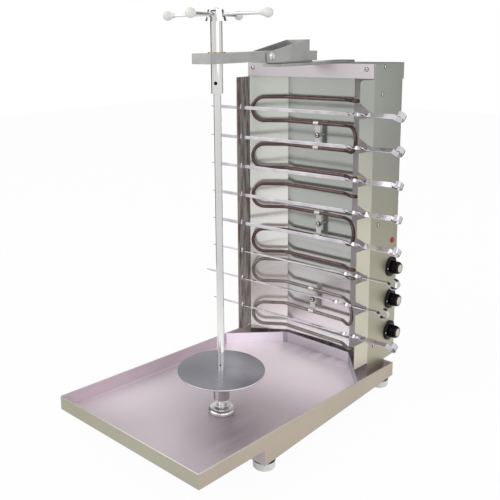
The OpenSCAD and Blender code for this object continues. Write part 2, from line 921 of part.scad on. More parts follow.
// Channel open above for the arm, with a closed hood at its rear end
module roof_bracket() {
    side = [[8 - bracket_lead, bracket_low], [bracket_end, bracket_low],
        [bracket_end, step_top], [hood_back, step_top], [hood_back, hood_top],
        [hood_front, hood_top], [-bracket_lead, arm_top - 3],
        [-bracket_lead, bracket_low + 8]];
    inner = bracket_w - 2 * arm_t;
    color([0.64, 0.65, 0.63])
        difference() {
            union() {
                side_profile(side, bracket_w, spit_x);
                translate([bracket_left, 8 - bracket_lead, bracket_low + 8])
                    rotate([0, 90, 0])
                        cylinder(r = 8, h = bracket_w);
            }
            // inside of the channel, open above in front of the hood
            translate([spit_x - inner / 2, -bracket_lead - 1, bracket_low + arm_t])
                cube([inner, hood_front + bracket_lead + 1, far]);
            // behind the hood's front wall
            translate([spit_x - inner / 2, hood_front + arm_t, bracket_low + arm_t])
                cube([inner, hood_back - hood_front - 2 * arm_t,
                    hood_top - bracket_low - 2 * arm_t]);
            translate([spit_x - inner / 2, hood_back - arm_t - eps, bracket_low + arm_t])
                cube([inner, bracket_end - hood_back + arm_t + 1,
                    step_top - bracket_low - 2 * arm_t]);
            translate([bracket_left - 1, bolt_y, bolt_z])
                rotate([0, 90, 0])
                    cylinder(r = arm_bolt_r + run_clear, h = bracket_w + 2);
        }
}

// Arm: a channel open below, with a closed nose
module front_arm() {
    color([0.66, 0.67, 0.65])
        difference() {
            translate([spit_x - arm_half, arm_front, arm_top - arm_h])
                cube([2 * arm_half, arm_back - arm_front, arm_h]);
            translate([spit_x - arm_half + arm_t, arm_front + arm_t, arm_top - arm_h - 1])
                cube([2 * (arm_half - arm_t), arm_back - arm_front, arm_h - arm_t + 1]);
            translate([spit_x, spit_y, arm_top - arm_h])
                cylinder(r = bush_r, h = far);
            translate([bracket_left, bolt_y, bolt_z])
                rotate([0, 90, 0])
                    cylinder(r = arm_bolt_r + run_clear, h = bracket_w);
        }
}

module arm_bushing() {
    color([0.7, 0.66, 0.5])
        translate([spit_x, spit_y, 0])
            difference() {
                union() {
                    translate([0, 0, arm_top - arm_h])
                        cylinder(r = bush_r, h = arm_h + eps);
                    translate([0, 0, arm_top])
                        cylinder(r = bush_r + 2, h = 1.5);
                }
                translate([0, 0, arm_top - arm_h - 1])
                    cylinder(r = tube_outer_r + run_clear, h = arm_h + 4);
            }
}

module arm_bolt() {
    head = 4;
    color([0.85, 0.85, 0.85])
        translate([bracket_left, bolt_y, bolt_z])
            rotate([0, 90, 0])
                union() {
                    cylinder(r = arm_bolt_r, h = bracket_w + head);
                    translate([0, 0, -head])
                        cylinder(r = 2 * arm_bolt_r, h = head + eps, $fn = 6);
                    translate([0, 0, bracket_w])
                        cylinder(r1 = 2 * arm_bolt_r - 0.5, r2 = arm_bolt_r + 1, h = head - 1);
                }
}

// One pan head screw that points along +Z, its head's seat at the origin
module screw(len) {
    union() {
        translate([0, 0, -1.2])
            cylinder(r = screw_r, h = len + 1.2);
        translate([0, 0, -1.2])
            cylinder(r = screw_head_r, h = 1.2);
        translate([0, 0, -2.2])
            cylinder(r1 = screw_head_r - 1.6, r2 = screw_head_r, h = 1 + eps);
    }
}

module panel_screws() {
    color([0.8, 0.8, 0.8]) {
        for (k = [-1, 1], s = side_screws)
            translate([k * panel_x, bend_y + s[0], s[1]])
                rotate([0, -90 * k, 0])
                    screw(8);
        for (x = [-bar_screw_x, bar_screw_x - 4])
            translate([x, bend_y - sheet_t, bar_screw_z])
                rotate([-90, 0, 0])
                    screw(8);
        for (x = [-panel_in + lay_gap / 2 + 5, panel_in - lay_gap / 2 - 5], z = rear_screw_z)
            translate([x, housing_back, z])
                rotate([90, 0, 0])
                    screw(8);
    }
}

module handle_tube() {
    color([0.8, 0.8, 0.79])
        translate([spit_x, spit_y, 0])
            difference() {
                union() {
                    translate([0, 0, tube_low])
                        cylinder(r = tube_outer_r, h = tube_high - tube_low - 2);
                    translate([0, 0, tube_high - 2 - eps])
                        cylinder(r1 = tube_outer_r, r2 = tube_outer_r - 3, h = 2);
                }
                translate([0, 0, tube_low - 1])
                    cylinder(r = rod_r + run_clear, h = tube_high - tube_low - 4);
                translate([0, 0, pin_z])
                    rotate([90, 0, pin_angle + 90])
                        cylinder(r = pin_r, h = 60, center = true);
            }
}

module cross_handle() {
    collar_h = 9;
    rod_start = tube_outer_r + 0.5;
    color([0.6, 0.6, 0.6])
        translate([spit_x, spit_y, handle_z]) {
            difference() {
                translate([0, 0, -collar_h / 2])
                    cylinder(r = handle_collar_r, h = collar_h);
                translate([0, 0, -collar_h / 2 - 1])
                    cylinder(r = tube_outer_r, h = collar_h + 2);
            }
            for (a = [0 : 90 : 270])
                rotate(handle_angle + a)
                    translate([rod_start, 0, 0])
                        rotate([0, 90, 0])
                            cylinder(r = handle_rod_r, h = ball_reach - rod_start);
        }
}

// Bent sheet cap over the handle: four tongues hang down between the rods, a cap nut on top
module handle_cap() {
    cap_t = 1.5;
    cap_r = handle_collar_r;
    color([0.75, 0.75, 0.75])
        translate([spit_x, spit_y, tube_high])
            union() {
                cylinder(r = cap_r, h = cap_t);
                for (a = [45 : 90 : 315])
                    rotate([90, 0, handle_angle + a])
                        translate([0, 0, -tongue_w / 2])
                            linear_extrude(height = tongue_w)
                                polygon([[cap_r - 3, 0.3], [cap_r - 0.3, 0.3],
                                    [cap_r + tongue_spread, -tongue_len],
                                    [cap_r + tongue_spread + cap_t, -tongue_len],
                                    [cap_r + 1.6, cap_t - 0.3], [cap_r - 3, cap_t - 0.3]]);
                translate([0, 0, cap_t - eps])
                    cylinder(r = 4.5, h = 2);
                translate([0, 0, cap_t + 2 - 2 * eps])
                    cylinder(r1 = 4.5, r2 = 2.5, h = 1.2);
            }
}

module ball_knobs() {
    color([0.88, 0.85, 0.78])
        translate([spit_x, spit_y, handle_z])
            for (a = [0 : 90 : 270])
                rotate(handle_angle + a)
                    difference() {
                        union() {
                            translate([ball_reach, 0, 0])
                                sphere(r = ball_r);
                            translate([ball_reach - ball_r - 5, 0, 0])
                                rotate([0, 90, 0])
                                    cylinder(r1 = handle_rod_r + 1, r2 = 0.75 * ball_r, h = 8.5);
                        }
                        rotate([0, 90, 0])
                            cylinder(r = handle_rod_r, h = ball_reach);
                    }
}

module spit_rod() {
    rod_low = dome_top - dome_seat;
    color([0.8, 0.8, 0.78])
        translate([spit_x, spit_y, 0])
            difference() {
                union() {
                    translate([0, 0, rod_low])
                        cylinder(r = rod_r, h = rod_top - rod_low - 4);
                    translate([0, 0, rod_top - 4 - eps])
                        cylinder(r1 = rod_r, r2 = rod_r - 2, h = 4);
                }
                for (z = [disc_top + 11, pin_z])
                    translate([0, 0, z])
                        rotate([90, 0, pin_angle + 90])
                            cylinder(r = pin_r, h = 60, center = true);
            }
}

module carrier_disc() {
    color([0.5, 0.5, 0.51])
        translate([spit_x, spit_y, disc_top - disc_t])
            difference() {
                cylinder(r = disc_r, h = disc_t);
                translate([0, 0, -1])
                    cylinder(r = rod_r + run_clear, h = disc_t + 2);
            }
}

module disc_hub() {
    color([0.75, 0.75, 0.74])
        translate([spit_x, spit_y, 0])
            difference() {
                union() {
                    translate([0, 0, hub_low])
                        cylinder(r = hub_r, h = disc_top - disc_t - hub_low);
                    translate([0, 0, disc_top - disc_t - 3])
                        cylinder(r = hub_r + 6, h = 3);
                }
                translate([0, 0, hub_low - 1])
                    cylinder(r = rod_r + run_clear, h = disc_top - hub_low);
                translate([0, 0, thumb_z])
                    rotate([0, 90, thumb_angle])
                        cylinder(r = 3 + run_clear, h = hub_r + 5);
            }
}

module thumb_screw() {
    color([0.55, 0.55, 0.55])
        translate([spit_x, spit_y, thumb_z])
            rotate([0, 90, thumb_angle])
                union() {
                    translate([0, 0, rod_r + 0.5])
                        cylinder(r = 3, h = hub_r + 1 - rod_r);
                    translate([0, 0, hub_r + 0.5])
                        cylinder(r1 = thumb_r - 4, r2 = thumb_r - 2, h = 4 + eps);
                    translate([0, 0, hub_r + 4.5])
                        linear_extrude(height = thumb_len - 4)
                            union() {
                                circle(r = thumb_r - 1);
                                for (k = [1 : thumb_ribs])
                                    rotate(k * 360 / thumb_ribs)
                                        translate([thumb_r - 2, -0.7])
                                            square([2, 1.4]);
                            }
                }
}

// A low bun on the sloping floor, with a groove and a blind bore for the rod
module dome_bearing() {
    edge_r = 6;
    color([0.7, 0.68, 0.68])
        difference() {
            intersection() {
                translate([spit_x, spit_y, 0])
                    union() {
                        // bulging rim on a narrower foot
                        rotate_extrude()
                            translate([dome_r - edge_r, dome_top - edge_r - 3])
                                circle(r = edge_r);
                        translate([0, 0, dome_top - 20])
                            cylinder(r = dome_r - edge_r, h = 18);
                        translate([0, 0, dome_top - 3.1])
                            cylinder(r1 = dome_r - edge_r + 1, r2 = rod_r + 5, h = 3.1);
                    }
                above_floor();
            }
            translate([spit_x, spit_y, dome_top - dome_seat])
                cylinder(r = rod_r + run_clear, h = far);
            translate([spit_x, spit_y, dome_top])
                rotate_extrude()
                    translate([rod_r + 2.5, 0])
                        circle(r = 1.5);
        }
}

// A flat skewer along +X with the notch seat at the origin and its handle upright. The strip
// turns by turns degrees along the neck and ends in an open hook.
module skewer(turns) {
    tip = 24;
    blade_end = -(neck_len + 3);
    a = asin(hook_r / norm([hook_r, hook_entry]));
    corner = [handle_len + hook_entry * cos(a), -hook_entry * sin(a)];
    centre = [corner[0] + hook_r * sin(a), corner[1] + hook_r * cos(a)];
    sweep = 230;
    exit_at = sweep - a - 90;
    blade_turn = turns % 180;
    union() {
        rotate([blade_turn, 0, 0]) {
            translate([-skewer_reach + tip, -strip_t / 2, -blade_w / 2])
                cube([skewer_reach - tip + blade_end, strip_t, blade_w]);
            rotate([90, 0, 0])
                translate([0, 0, -strip_t / 2])
                    linear_extrude(height = strip_t)
                        polygon([[-skewer_reach + tip + eps, -blade_w / 2],
                            [-skewer_reach + tip + eps, blade_w / 2], [-skewer_reach, 0]]);
        }
        translate([blade_end, 0, 0])
            rotate([0, 90, 0])
                rotate(blade_turn)
                    linear_extrude(height = neck_len, twist = turns, slices = 28, segments = 4)
                        square([blade_w, strip_t], center = true);
        // a faint shoulder where the twist starts
        translate([blade_end, 0, 0])
            rotate([blade_turn, 0, 0])
                cube([0.4, strip_t + 0.3, blade_w + 0.3], center = true);
        translate([-3.2, -strip_t / 2 - 0.15, -handle_w / 2])
            cube([0.4, strip_t + 0.3, handle_w]);
        translate([-3, -strip_t / 2, -handle_w / 2])
            cube([handle_len + 3, strip_t, handle_w]);
        // hook, bent from the upright strip
        translate([0, 0, -handle_w / 2]) {
            linear_extrude(height = handle_w)
                union() {
                    // slightly thicker where the strip is bent
                    for (p = [[handle_len, 0], corner, centre + hook_r * [cos(exit_at), sin(exit_at)]])
                        translate(p)
                            circle(r = strip_t / 2 + 0.06);
                    translate([handle_len, 0])
                        rotate(-a)
                            translate([0, -strip_t / 2])
                                square([hook_entry, strip_t]);
                }
            translate([centre[0], centre[1], 0])
                rotate(-a - 90)
                    rotate_extrude(angle = sweep)
                        translate([hook_r - strip_t / 2, 0])
                            square([strip_t, handle_w]);
        }
    }
}

module place_skewer(n, slip = 0) {
    color([0.85, 0.84, 0.86])
        translate([seat_x, seat_y, skewer_z(n)])
            rotate(skew)
                translate([-slip, 0, 0])
                    rotate([handle_roll[n - 1], 0, 0])
                        skewer(360 + blade_roll[n - 1] - handle_roll[n - 1]);
}

module skewer_1() {
    place_skewer(1);
}

module skewer_2() {
    place_skewer(2);
}

module skewer_3() {
    place_skewer(3);
}

module skewer_4() {
    place_skewer(4);
}

module skewer_5() {
    place_skewer(5);
}

module skewer_6() {
    place_skewer(6);
}

module skewer_7() {
    place_skewer(7, skewer_slip);
}

module skewer_8() {
    place_skewer(8);
}

// Knob turned about +X: skirt against the panel, waisted grip, flat cap with a pale insert
module knob(n) {
    skirt_h = 5;
    cap_r = 13;
    color([0.06, 0.06, 0.07])
        translate([panel_x + 0.6, knob_y, knob_z(n)])
            rotate([0, 90, 0])
                difference() {
                    union() {
                        cylinder(r = knob_r, h = skirt_h - 2);
                        translate([0, 0, skirt_h - 2 - eps])
                            cylinder(r1 = knob_r, r2 = knob_r - 4, h = 2);
                        translate([0, 0, skirt_h - eps])
                            cylinder(r1 = cap_r - 1, r2 = cap_r, h = knob_h - skirt_h - 2);
                        translate([0, 0, knob_h - 2 - 2 * eps])
                            cylinder(r1 = cap_r, r2 = cap_r - 1.5, h = 2);
                        for (k = [0 : 11])
                            rotate(k * 30)
                                translate([cap_r - 2, -1.2, skirt_h - eps])
                                    cube([3, 2.4, knob_h - skirt_h - 4]);
                    }
                    translate([0, 0, -1])
                        cylinder(r = knob_r - 2, h = 3);
                    translate([0, 0, knob_h - 1])
                        cylinder(r = insert_r, h = 3);
                }
    // the switch shaft turns with the knob
    color([0.7, 0.7, 0.7])
        translate([panel_x - 14, knob_y, knob_z(n)])
            rotate([0, 90, 0])
                cylinder(r = shaft_r, h = 14 + 0.6 + 2 + eps);
}

module knob_1() {
    knob(1);
}

module knob_2() {
    knob(2);
}

module knob_3() {
    knob(3);
}

module knob_insert(n) {
    color([0.85, 0.82, 0.72])
        translate([panel_x + 0.6 + knob_h - 1, knob_y, knob_z(n)])
            rotate([0, 90, 0])
                cylinder(r = insert_r, h = 1.4);
}

module knob_insert_1() {
    knob_insert(1);
}

module knob_insert_2() {
    knob_insert(2);
}

module knob_insert_3() {
    knob_insert(3);
}

drip_pan();
base_plate();
feet();
foot_rings();
foot_screws();
left_drip_guard();
right_drip_guard();
left_side_panel();
right_side_panel();
rear_cover();
roof_cover();
top_bar();
left_reflector();
back_reflector();
right_reflector();
heating_element_1();
heating_element_2();
heating_element_3();
element_clips();
terminal_sleeves();
rotary_switches();
indicator_lamp();
terminal_block();
cable_gland();
bracket_plate();
roof_bracket();
front_arm();
arm_bushing();
arm_bolt();
panel_screws();
handle_tube();
cross_handle();
handle_cap();
ball_knobs();
spit_rod();
carrier_disc();
disc_hub();
thumb_screw();
dome_bearing();
skewer_1();
skewer_2();
skewer_3();
skewer_4();
skewer_5();
skewer_6();
skewer_7();
skewer_8();
knob_1();
knob_2();
knob_3();
knob_insert_1();
knob_insert_2();
knob_insert_3();
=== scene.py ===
# %% [markdown]
# # An upright kebab grill, dressed for a product picture
#
# The grill's structure is already there as a fixed frame: sheet metal housing, drip pan, spit,
# skewers and heaters, each at its real size. This notebook gives every surface its finish, with
# light and shade painted into the colour of some of them, and adds what only looks need: rounded
# sheet edges, screw recesses, painted shade in the recesses and drilled holes, and marks on the
# knobs. It runs from top to bottom, and a later step may use what an earlier one made.

# %% Load the frame
import json
import math

import bpy
import bmesh
from mathutils import Matrix, Vector
from mathutils.bvhtree import BVHTree


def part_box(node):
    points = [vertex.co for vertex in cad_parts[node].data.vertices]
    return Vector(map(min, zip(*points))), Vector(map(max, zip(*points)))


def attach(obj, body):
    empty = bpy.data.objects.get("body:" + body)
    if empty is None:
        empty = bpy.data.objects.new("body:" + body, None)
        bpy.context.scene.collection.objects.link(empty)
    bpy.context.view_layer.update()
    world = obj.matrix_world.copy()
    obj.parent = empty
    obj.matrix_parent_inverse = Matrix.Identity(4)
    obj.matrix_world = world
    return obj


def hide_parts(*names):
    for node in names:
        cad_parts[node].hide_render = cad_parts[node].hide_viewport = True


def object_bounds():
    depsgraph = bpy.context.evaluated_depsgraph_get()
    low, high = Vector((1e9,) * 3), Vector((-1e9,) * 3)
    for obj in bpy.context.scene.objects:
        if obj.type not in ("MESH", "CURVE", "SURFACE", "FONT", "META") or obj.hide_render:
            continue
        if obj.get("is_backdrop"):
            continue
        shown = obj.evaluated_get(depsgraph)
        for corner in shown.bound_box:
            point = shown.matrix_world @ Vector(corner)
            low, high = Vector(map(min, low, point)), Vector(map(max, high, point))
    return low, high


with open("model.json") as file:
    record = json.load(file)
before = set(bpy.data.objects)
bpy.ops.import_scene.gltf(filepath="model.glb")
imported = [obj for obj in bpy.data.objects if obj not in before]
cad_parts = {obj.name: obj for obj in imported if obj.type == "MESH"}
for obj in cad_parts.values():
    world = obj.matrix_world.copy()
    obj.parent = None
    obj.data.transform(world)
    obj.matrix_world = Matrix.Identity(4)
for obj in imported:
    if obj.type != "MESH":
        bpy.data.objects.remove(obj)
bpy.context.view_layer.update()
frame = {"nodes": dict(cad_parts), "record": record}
nodes = frame["nodes"]
scene = bpy.context.scene
body_of = {name: body for body, members in frame["record"]["behaviour"]["bodies"].items()
           for name in members}
print("nodes in the frame:", len(nodes), "bodies:", len(set(body_of.values())))

# %% [markdown]
# ## Small helpers
#
# Some things are done again and again: data becomes an object in the scene, a material starts
# from its standard shader, and a node's socket gets a fixed value or a link from another node.
# They could be written out each time, but a short function keeps the later cells readable.

# %% Small helpers
def put(name, data):
    """A new object in the scene with this mesh, lamp or camera."""
    thing = bpy.data.objects.new(name, data)
    scene.collection.objects.link(thing)
    return thing


def new_material(name, metal=0.0):
    material = bpy.data.materials.new(name)
    material.use_nodes = True
    tree = material.node_tree
    shader = tree.nodes["Principled BSDF"]
    shader.inputs["Metallic"].default_value = metal
    return material, tree, shader


def give(tree, value, socket):
    """Links another node's socket to this one, or sets a fixed number or colour on it."""
    if isinstance(value, bpy.types.NodeSocket):
        tree.links.new(value, socket)
    else:
        socket.default_value = value


def joined(tree, operation, a, b):
    """Two values joined by an operation of the Math node, such as MULTIPLY."""
    node = tree.nodes.new("ShaderNodeMath")
    node.operation = operation
    give(tree, a, node.inputs[0])
    give(tree, b, node.inputs[1])
    return node.outputs[0]


def spread(tree, value, low, high, start=0.3, end=0.7):
    """A value between start and end, stretched so that it runs from low to high."""
    node = tree.nodes.new("ShaderNodeMapRange")
    for name, number in (("From Min", start), ("From Max", end), ("To Min", low),
                         ("To Max", high)):
        node.inputs[name].default_value = number
    tree.links.new(value, node.inputs["Value"])
    return node.outputs["Result"]


print("helpers ready for", scene.name)

# %% [markdown]
# ## Camera
#
# The picture was taken from the front right, a little above the top of the housing. The
# camera's place and turn were worked out from the straight edges of the pan and the housing, so
# they are real distances. The shift moves the picture's frame without turning the camera, so
# every edge keeps the lean that it has in the picture.

# %% Camera
CAMERA_PLACE = Vector((0.8953, -1.1167, 0.7753))
CAMERA_YAW = math.radians(43.68)
CAMERA_PITCH = math.radians(10.76)
CAMERA_ROLL = math.radians(-1.06)
SENSOR_MM = 36
LENS_MM = 49.82
SHIFT_X = 0.0924
SHIFT_Y = -0.1548


def make_camera():
    forward = Vector((-math.sin(CAMERA_YAW) * math.cos(CAMERA_PITCH),
                      math.cos(CAMERA_YAW) * math.cos(CAMERA_PITCH),
                      -math.sin(CAMERA_PITCH)))
    level = Vector((math.cos(CAMERA_YAW), math.sin(CAMERA_YAW), 0))
    upward = level.cross(forward)
    right = math.cos(CAMERA_ROLL) * level + math.sin(CAMERA_ROLL) * upward
    up = math.cos(CAMERA_ROLL) * upward - math.sin(CAMERA_ROLL) * level
    data = bpy.data.cameras.new("camera")
    data.sensor_width = SENSOR_MM
    data.lens = LENS_MM
    data.shift_x = SHIFT_X
    data.shift_y = SHIFT_Y
    turn = Matrix((right, up, -forward)).transposed().to_4x4()
    camera = put("camera", data)
    camera.matrix_world = Matrix.Translation(CAMERA_PLACE) @ turn
    scene.camera = camera


make_camera()
print("camera height in metres:", CAMERA_PLACE.z)

# %% [markdown]
# ## World and floor
#
# A product picture on white needs a bright, even surround. The world is white where the camera
# and the reflections look at it, and weaker where it lights the object, so that the lamps still
# model the sheets. The floor does the same: it shows white but keeps the object's shadow.

# %% World and floor
scene.view_settings.view_transform = "Standard"
WORLD_LIGHT = 0.62
FLOOR_HALF = 6.0
FLOOR_GREY = (0.9, 0.9, 0.9, 1)
FLOOR_GLOW = 0.96


def white_to_the_eye(tree):
    """1 for rays that show the background itself: camera, glossy and transmission rays."""
    ray = tree.nodes.new("ShaderNodeLightPath").outputs
    seen = joined(tree, "MAXIMUM", ray["Is Camera Ray"], ray["Is Glossy Ray"])
    return joined(tree, "MAXIMUM", seen, ray["Is Transmission Ray"])


def make_world():
    world = bpy.data.worlds.new("studio")
    world.use_nodes = True
    scene.world = world
    tree = world.node_tree
    background = tree.nodes["Background"]
    background.inputs["Color"].default_value = (1, 1, 1, 1)
    strength = spread(tree, white_to_the_eye(tree), WORLD_LIGHT, 1.0, 0.0, 1.0)
    tree.links.new(strength, background.inputs["Strength"])


def flat_panel(name, corners, material):
    mesh = bpy.data.meshes.new(name)
    mesh.from_pydata(corners, [], [(0, 1, 2, 3)])
    mesh.materials.append(material)
    return put(name, mesh)


def make_floor():
    material = new_material("floor_white")[0]
    tree = material.node_tree
    tree.nodes.clear()
    out = tree.nodes.new("ShaderNodeOutputMaterial")
    diffuse = tree.nodes.new("ShaderNodeBsdfDiffuse")
    diffuse.inputs["Color"].default_value = FLOOR_GREY
    glow = tree.nodes.new("ShaderNodeEmission")
    glow.inputs["Strength"].default_value = 1.0
    mix = tree.nodes.new("ShaderNodeMixShader")
    share = joined(tree, "MULTIPLY", white_to_the_eye(tree), FLOOR_GLOW)
    tree.links.new(share, mix.inputs["Fac"])
    tree.links.new(diffuse.outputs[0], mix.inputs[1])
    tree.links.new(glow.outputs[0], mix.inputs[2])
    tree.links.new(mix.outputs[0], out.inputs["Surface"])
    half = FLOOR_HALF
    floor = flat_panel("floor", [(-half, -half, 0), (half, -half, 0), (half, half, 0),
                                 (-half, half, 0)], material)
    floor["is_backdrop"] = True


make_world()
make_floor()
print("floor side in metres:", 2 * FLOOR_HALF)

# %% [markdown]
# ## Cards and lamps
#
# Polished round bar in an all white room looks flat, because its edges reflect white too. So a
# dark card stands on either side, out of the picture. Only reflections see the cards: they draw
# the dark edges of the rods, and they cast no shadow and take no light away. One large lamp on
# the left is the key light, and a weaker one on the right fills its shadows.

# %% Cards and lamps
SPIT_FOOT = Vector((0.041, -0.183, 0.01))
CARD_AZIMUTH = {"card_left": 180, "card_right": 90}
CARD_DISTANCE = 1.0
CARD_HALF_WIDTH = 0.42
CARD_HEIGHT = 1.25
CARD_COLOUR = (0.02, 0.02, 0.022, 1)
LAMPS = {"key": ((-1.6, -2.4, 2.4), 44), "fill": ((2.6, -1.2, 1.9), 24)}
LAMP_SIZE = 3.0
LAMP_TARGET = Vector((0, 0, 0.4))


def make_cards():
    material, _, shader = new_material("card_dark")
    shader.inputs["Base Color"].default_value = CARD_COLOUR
    shader.inputs["Roughness"].default_value = 0.9
    top = Vector((0, 0, CARD_HEIGHT))
    for name, azimuth in CARD_AZIMUTH.items():
        outward = Vector((math.cos(math.radians(azimuth)), math.sin(math.radians(azimuth)), 0))
        across = Vector((-outward.y, outward.x, 0)) * CARD_HALF_WIDTH
        foot = SPIT_FOOT + outward * CARD_DISTANCE
        card = flat_panel(name, [foot - across, foot + across, foot + across + top,
                                 foot - across + top], material)
        card.visible_camera = False
        card.visible_shadow = False
        card.visible_diffuse = False
        card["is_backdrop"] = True


def make_lamp(name, place, watts):
    data = bpy.data.lights.new(name, "AREA")
    data.shape = "SQUARE"
    data.size = LAMP_SIZE
    data.energy = watts
    lamp = put(name, data)
    lamp.location = place
    lamp.rotation_euler = (LAMP_TARGET - Vector(place)).to_track_quat("-Z", "Y").to_euler()


make_cards()
for name, (place, watts) in LAMPS.items():
    make_lamp(name, place, watts)
print("cards:", len(CARD_AZIMUTH), "lamps:", len(LAMPS))

# %% [markdown]
# ## Grain
#
# Nearly everything here is steel, and what tells the sheets apart is their grain: rolled and
# brushed sheet has fine scratches in one direction, and ground bar has them along its axis. A
# picture of scratches would need unwrapping, so one noise is stretched along the grain instead.
# It changes colour and roughness by a few per cent and lifts the surface by a hair, which makes
# the soft streaks of light on real steel.

# %% Colours and noise
SRGB_CUT = 0.04045
ALONG_X = (3, 900, 900)
ALONG_Y = (900, 3, 900)
ALONG_Z = (900, 900, 3)
EVEN = (1, 1, 1)


def srgb(colour):
    """A colour as the eye reads it on screen, 0 to 255, turned into linear light."""
    def linear(value):
        v = value / 255
        return v / 12.92 if v <= SRGB_CUT else ((v + 0.055) / 1.055) ** 2.4
    return (*(linear(value) for value in colour), 1)


def object_noise(tree, scale, stretch, detail=3.0, turn=0):
    """Noise of 0 to 1 on object coordinates, stretched for each axis, turned about Z."""
    place = tree.nodes.new("ShaderNodeTexCoord")
    mapping = tree.nodes.new("ShaderNodeMapping")
    mapping.inputs["Scale"].default_value = stretch
    mapping.inputs["Rotation"].default_value = (0, 0, math.radians(turn))
    noise = tree.nodes.new("ShaderNodeTexNoise")
    noise.inputs["Scale"].default_value = scale
    noise.inputs["Detail"].default_value = detail
    tree.links.new(place.outputs["Object"], mapping.inputs["Vector"])
    tree.links.new(mapping.outputs["Vector"], noise.inputs["Vector"])
    return noise.outputs["Fac"]


print("middle grey in linear light:", round(srgb((128, 128, 128))[0], 3))

# %% Mixing, tinting and relief
STREAK = 0.035
GRAIN_DEPTH = 0.0001
GRAIN_STRENGTH = 0.06


def mixed(tree, a, b, factor, blend="MIX"):
    """Colour a where the factor is 0 and colour b, or their product, where it is 1."""
    mix = tree.nodes.new("ShaderNodeMix")
    mix.data_type = "RGBA"
    mix.blend_type = blend
    give(tree, a, mix.inputs["A"])
    give(tree, b, mix.inputs["B"])
    give(tree, factor, mix.inputs["Factor"])
    return mix.outputs["Result"]


def tinted(tree, colour, factor):
    """A colour multiplied by a changing factor."""
    grey = tree.nodes.new("ShaderNodeCombineColor")
    for channel in ("Red", "Green", "Blue"):
        tree.links.new(factor, grey.inputs[channel])
    return mixed(tree, colour, grey.outputs["Color"], 1.0, "MULTIPLY")


def lift(tree, shader, height, depth, strength):
    bump = tree.nodes.new("ShaderNodeBump")
    bump.inputs["Strength"].default_value = strength
    bump.inputs["Distance"].default_value = depth
    tree.links.new(height, bump.inputs["Height"])
    tree.links.new(bump.outputs["Normal"], shader.inputs["Normal"])


def brush(tree, shader, fine, rough):
    """The grain's effect on gloss and surface, the same for all brushed sheet."""
    tree.links.new(spread(tree, fine, *rough), shader.inputs["Roughness"])
    lift(tree, shader, fine, GRAIN_DEPTH, GRAIN_STRENGTH)


print("streaks change the colour by", STREAK, "either way")

# %% [markdown]
# ## Four kinds of finish
#
# New sheet has only its grain and some wide, faint clouding. The tray, the disc and the bar in
# front take a list of oval spots, lighter or darker: on the tray they are painted light and
# painted shadow. The left flange is browned by the heaters in upright runs. Moulded plastic,
# rubber and scaled heater tube have no grain: a soft mottling is enough. Four functions build
# these kinds from the same noise.

# %% Clean brushed sheet
def faded(tree, low_colour, high_colour, low_z, high_z):
    """A colour that changes with height, from low_colour to high_colour."""
    place = tree.nodes.new("ShaderNodeTexCoord")
    split = tree.nodes.new("ShaderNodeSeparateXYZ")
    tree.links.new(place.outputs["Object"], split.inputs["Vector"])
    share = spread(tree, split.outputs["Z"], 0.0, 1.0, low_z, high_z)
    return mixed(tree, low_colour, high_colour, share)


def sheet_steel(name, colour, grain=ALONG_X, rough=(0.28, 0.42), metal=0.75, cloud=0.06,
                cloud_scale=5.0, low=None, fade=(0.2, 0.4)):
    """Brushed sheet. With low, the colour changes to it below the heights in fade."""
    material, tree, shader = new_material(name, metal)
    fine = object_noise(tree, 1.0, grain, detail=4)
    wide = object_noise(tree, cloud_scale, EVEN, detail=2)
    factor = joined(tree, "MULTIPLY", spread(tree, fine, 1 - STREAK, 1 + STREAK),
                    spread(tree, wide, 1 - cloud, 1 + cloud))
    base = faded(tree, srgb(low), srgb(colour), *fade) if low else srgb(colour)
    tree.links.new(tinted(tree, base, factor), shader.inputs["Base Color"])
    brush(tree, shader, fine, rough)
    return material


print("scratches per metre across the grain, about:", ALONG_X[1])

# %% Sheet with lighter and darker spots, painted light and shade on the tray
PATCH_STRETCH = (45, 7, 45)
PATCH_SHARE = (0.5, 1.0)
PATCH_EDGE = (0.35, 0.65)
ALL_HEIGHTS = 1000


def near_point(tree, centre, reach, squash, turn):
    """1 at a point of the object, falling to 0 at the reach: an oval spot in the XY plane."""
    place = tree.nodes.new("ShaderNodeTexCoord")
    mapping = tree.nodes.new("ShaderNodeMapping")
    mapping.vector_type = "TEXTURE"
    mapping.inputs["Location"].default_value = (*centre, 0)
    mapping.inputs["Rotation"].default_value = (0, 0, math.radians(turn))
    mapping.inputs["Scale"].default_value = (reach, reach * squash, ALL_HEIGHTS)
    length = tree.nodes.new("ShaderNodeVectorMath")
    length.operation = "LENGTH"
    tree.links.new(place.outputs["Object"], mapping.inputs["Vector"])
    tree.links.new(mapping.outputs["Vector"], length.inputs[0])
    spot = spread(tree, length.outputs["Value"], 0.0, 1.0, 1.0, 0.0)
    spot.node.interpolation_type = "SMOOTHSTEP"
    return spot


def spotted_steel(name, colour, spots, metal, rough, patch_turn=0):
    """Sheet with spots: (centre, reach, squash, turn, brightness). Dark ones are uneven."""
    material, tree, shader = new_material(name, metal)
    fine = object_noise(tree, 1.0, ALONG_X, detail=4)
    factor = spread(tree, fine, 1 - STREAK, 1 + STREAK)
    patch_noise = object_noise(tree, 1.0, PATCH_STRETCH, turn=patch_turn)
    for *oval, brightness in spots:
        spot = near_point(tree, *oval)
        if brightness < 1:
            patchiness = spread(tree, patch_noise, *PATCH_SHARE, *PATCH_EDGE)
            spot = joined(tree, "MULTIPLY", spot, patchiness)
        factor = joined(tree, "MULTIPLY", factor, spread(tree, spot, 1.0, brightness, 0, 1))
    tree.links.new(tinted(tree, srgb(colour), factor), shader.inputs["Base Color"])
    brush(tree, shader, fine, rough)
    return material


print("dirt is drawn out", PATCH_STRETCH[0] / PATCH_STRETCH[1], "times along its strokes")

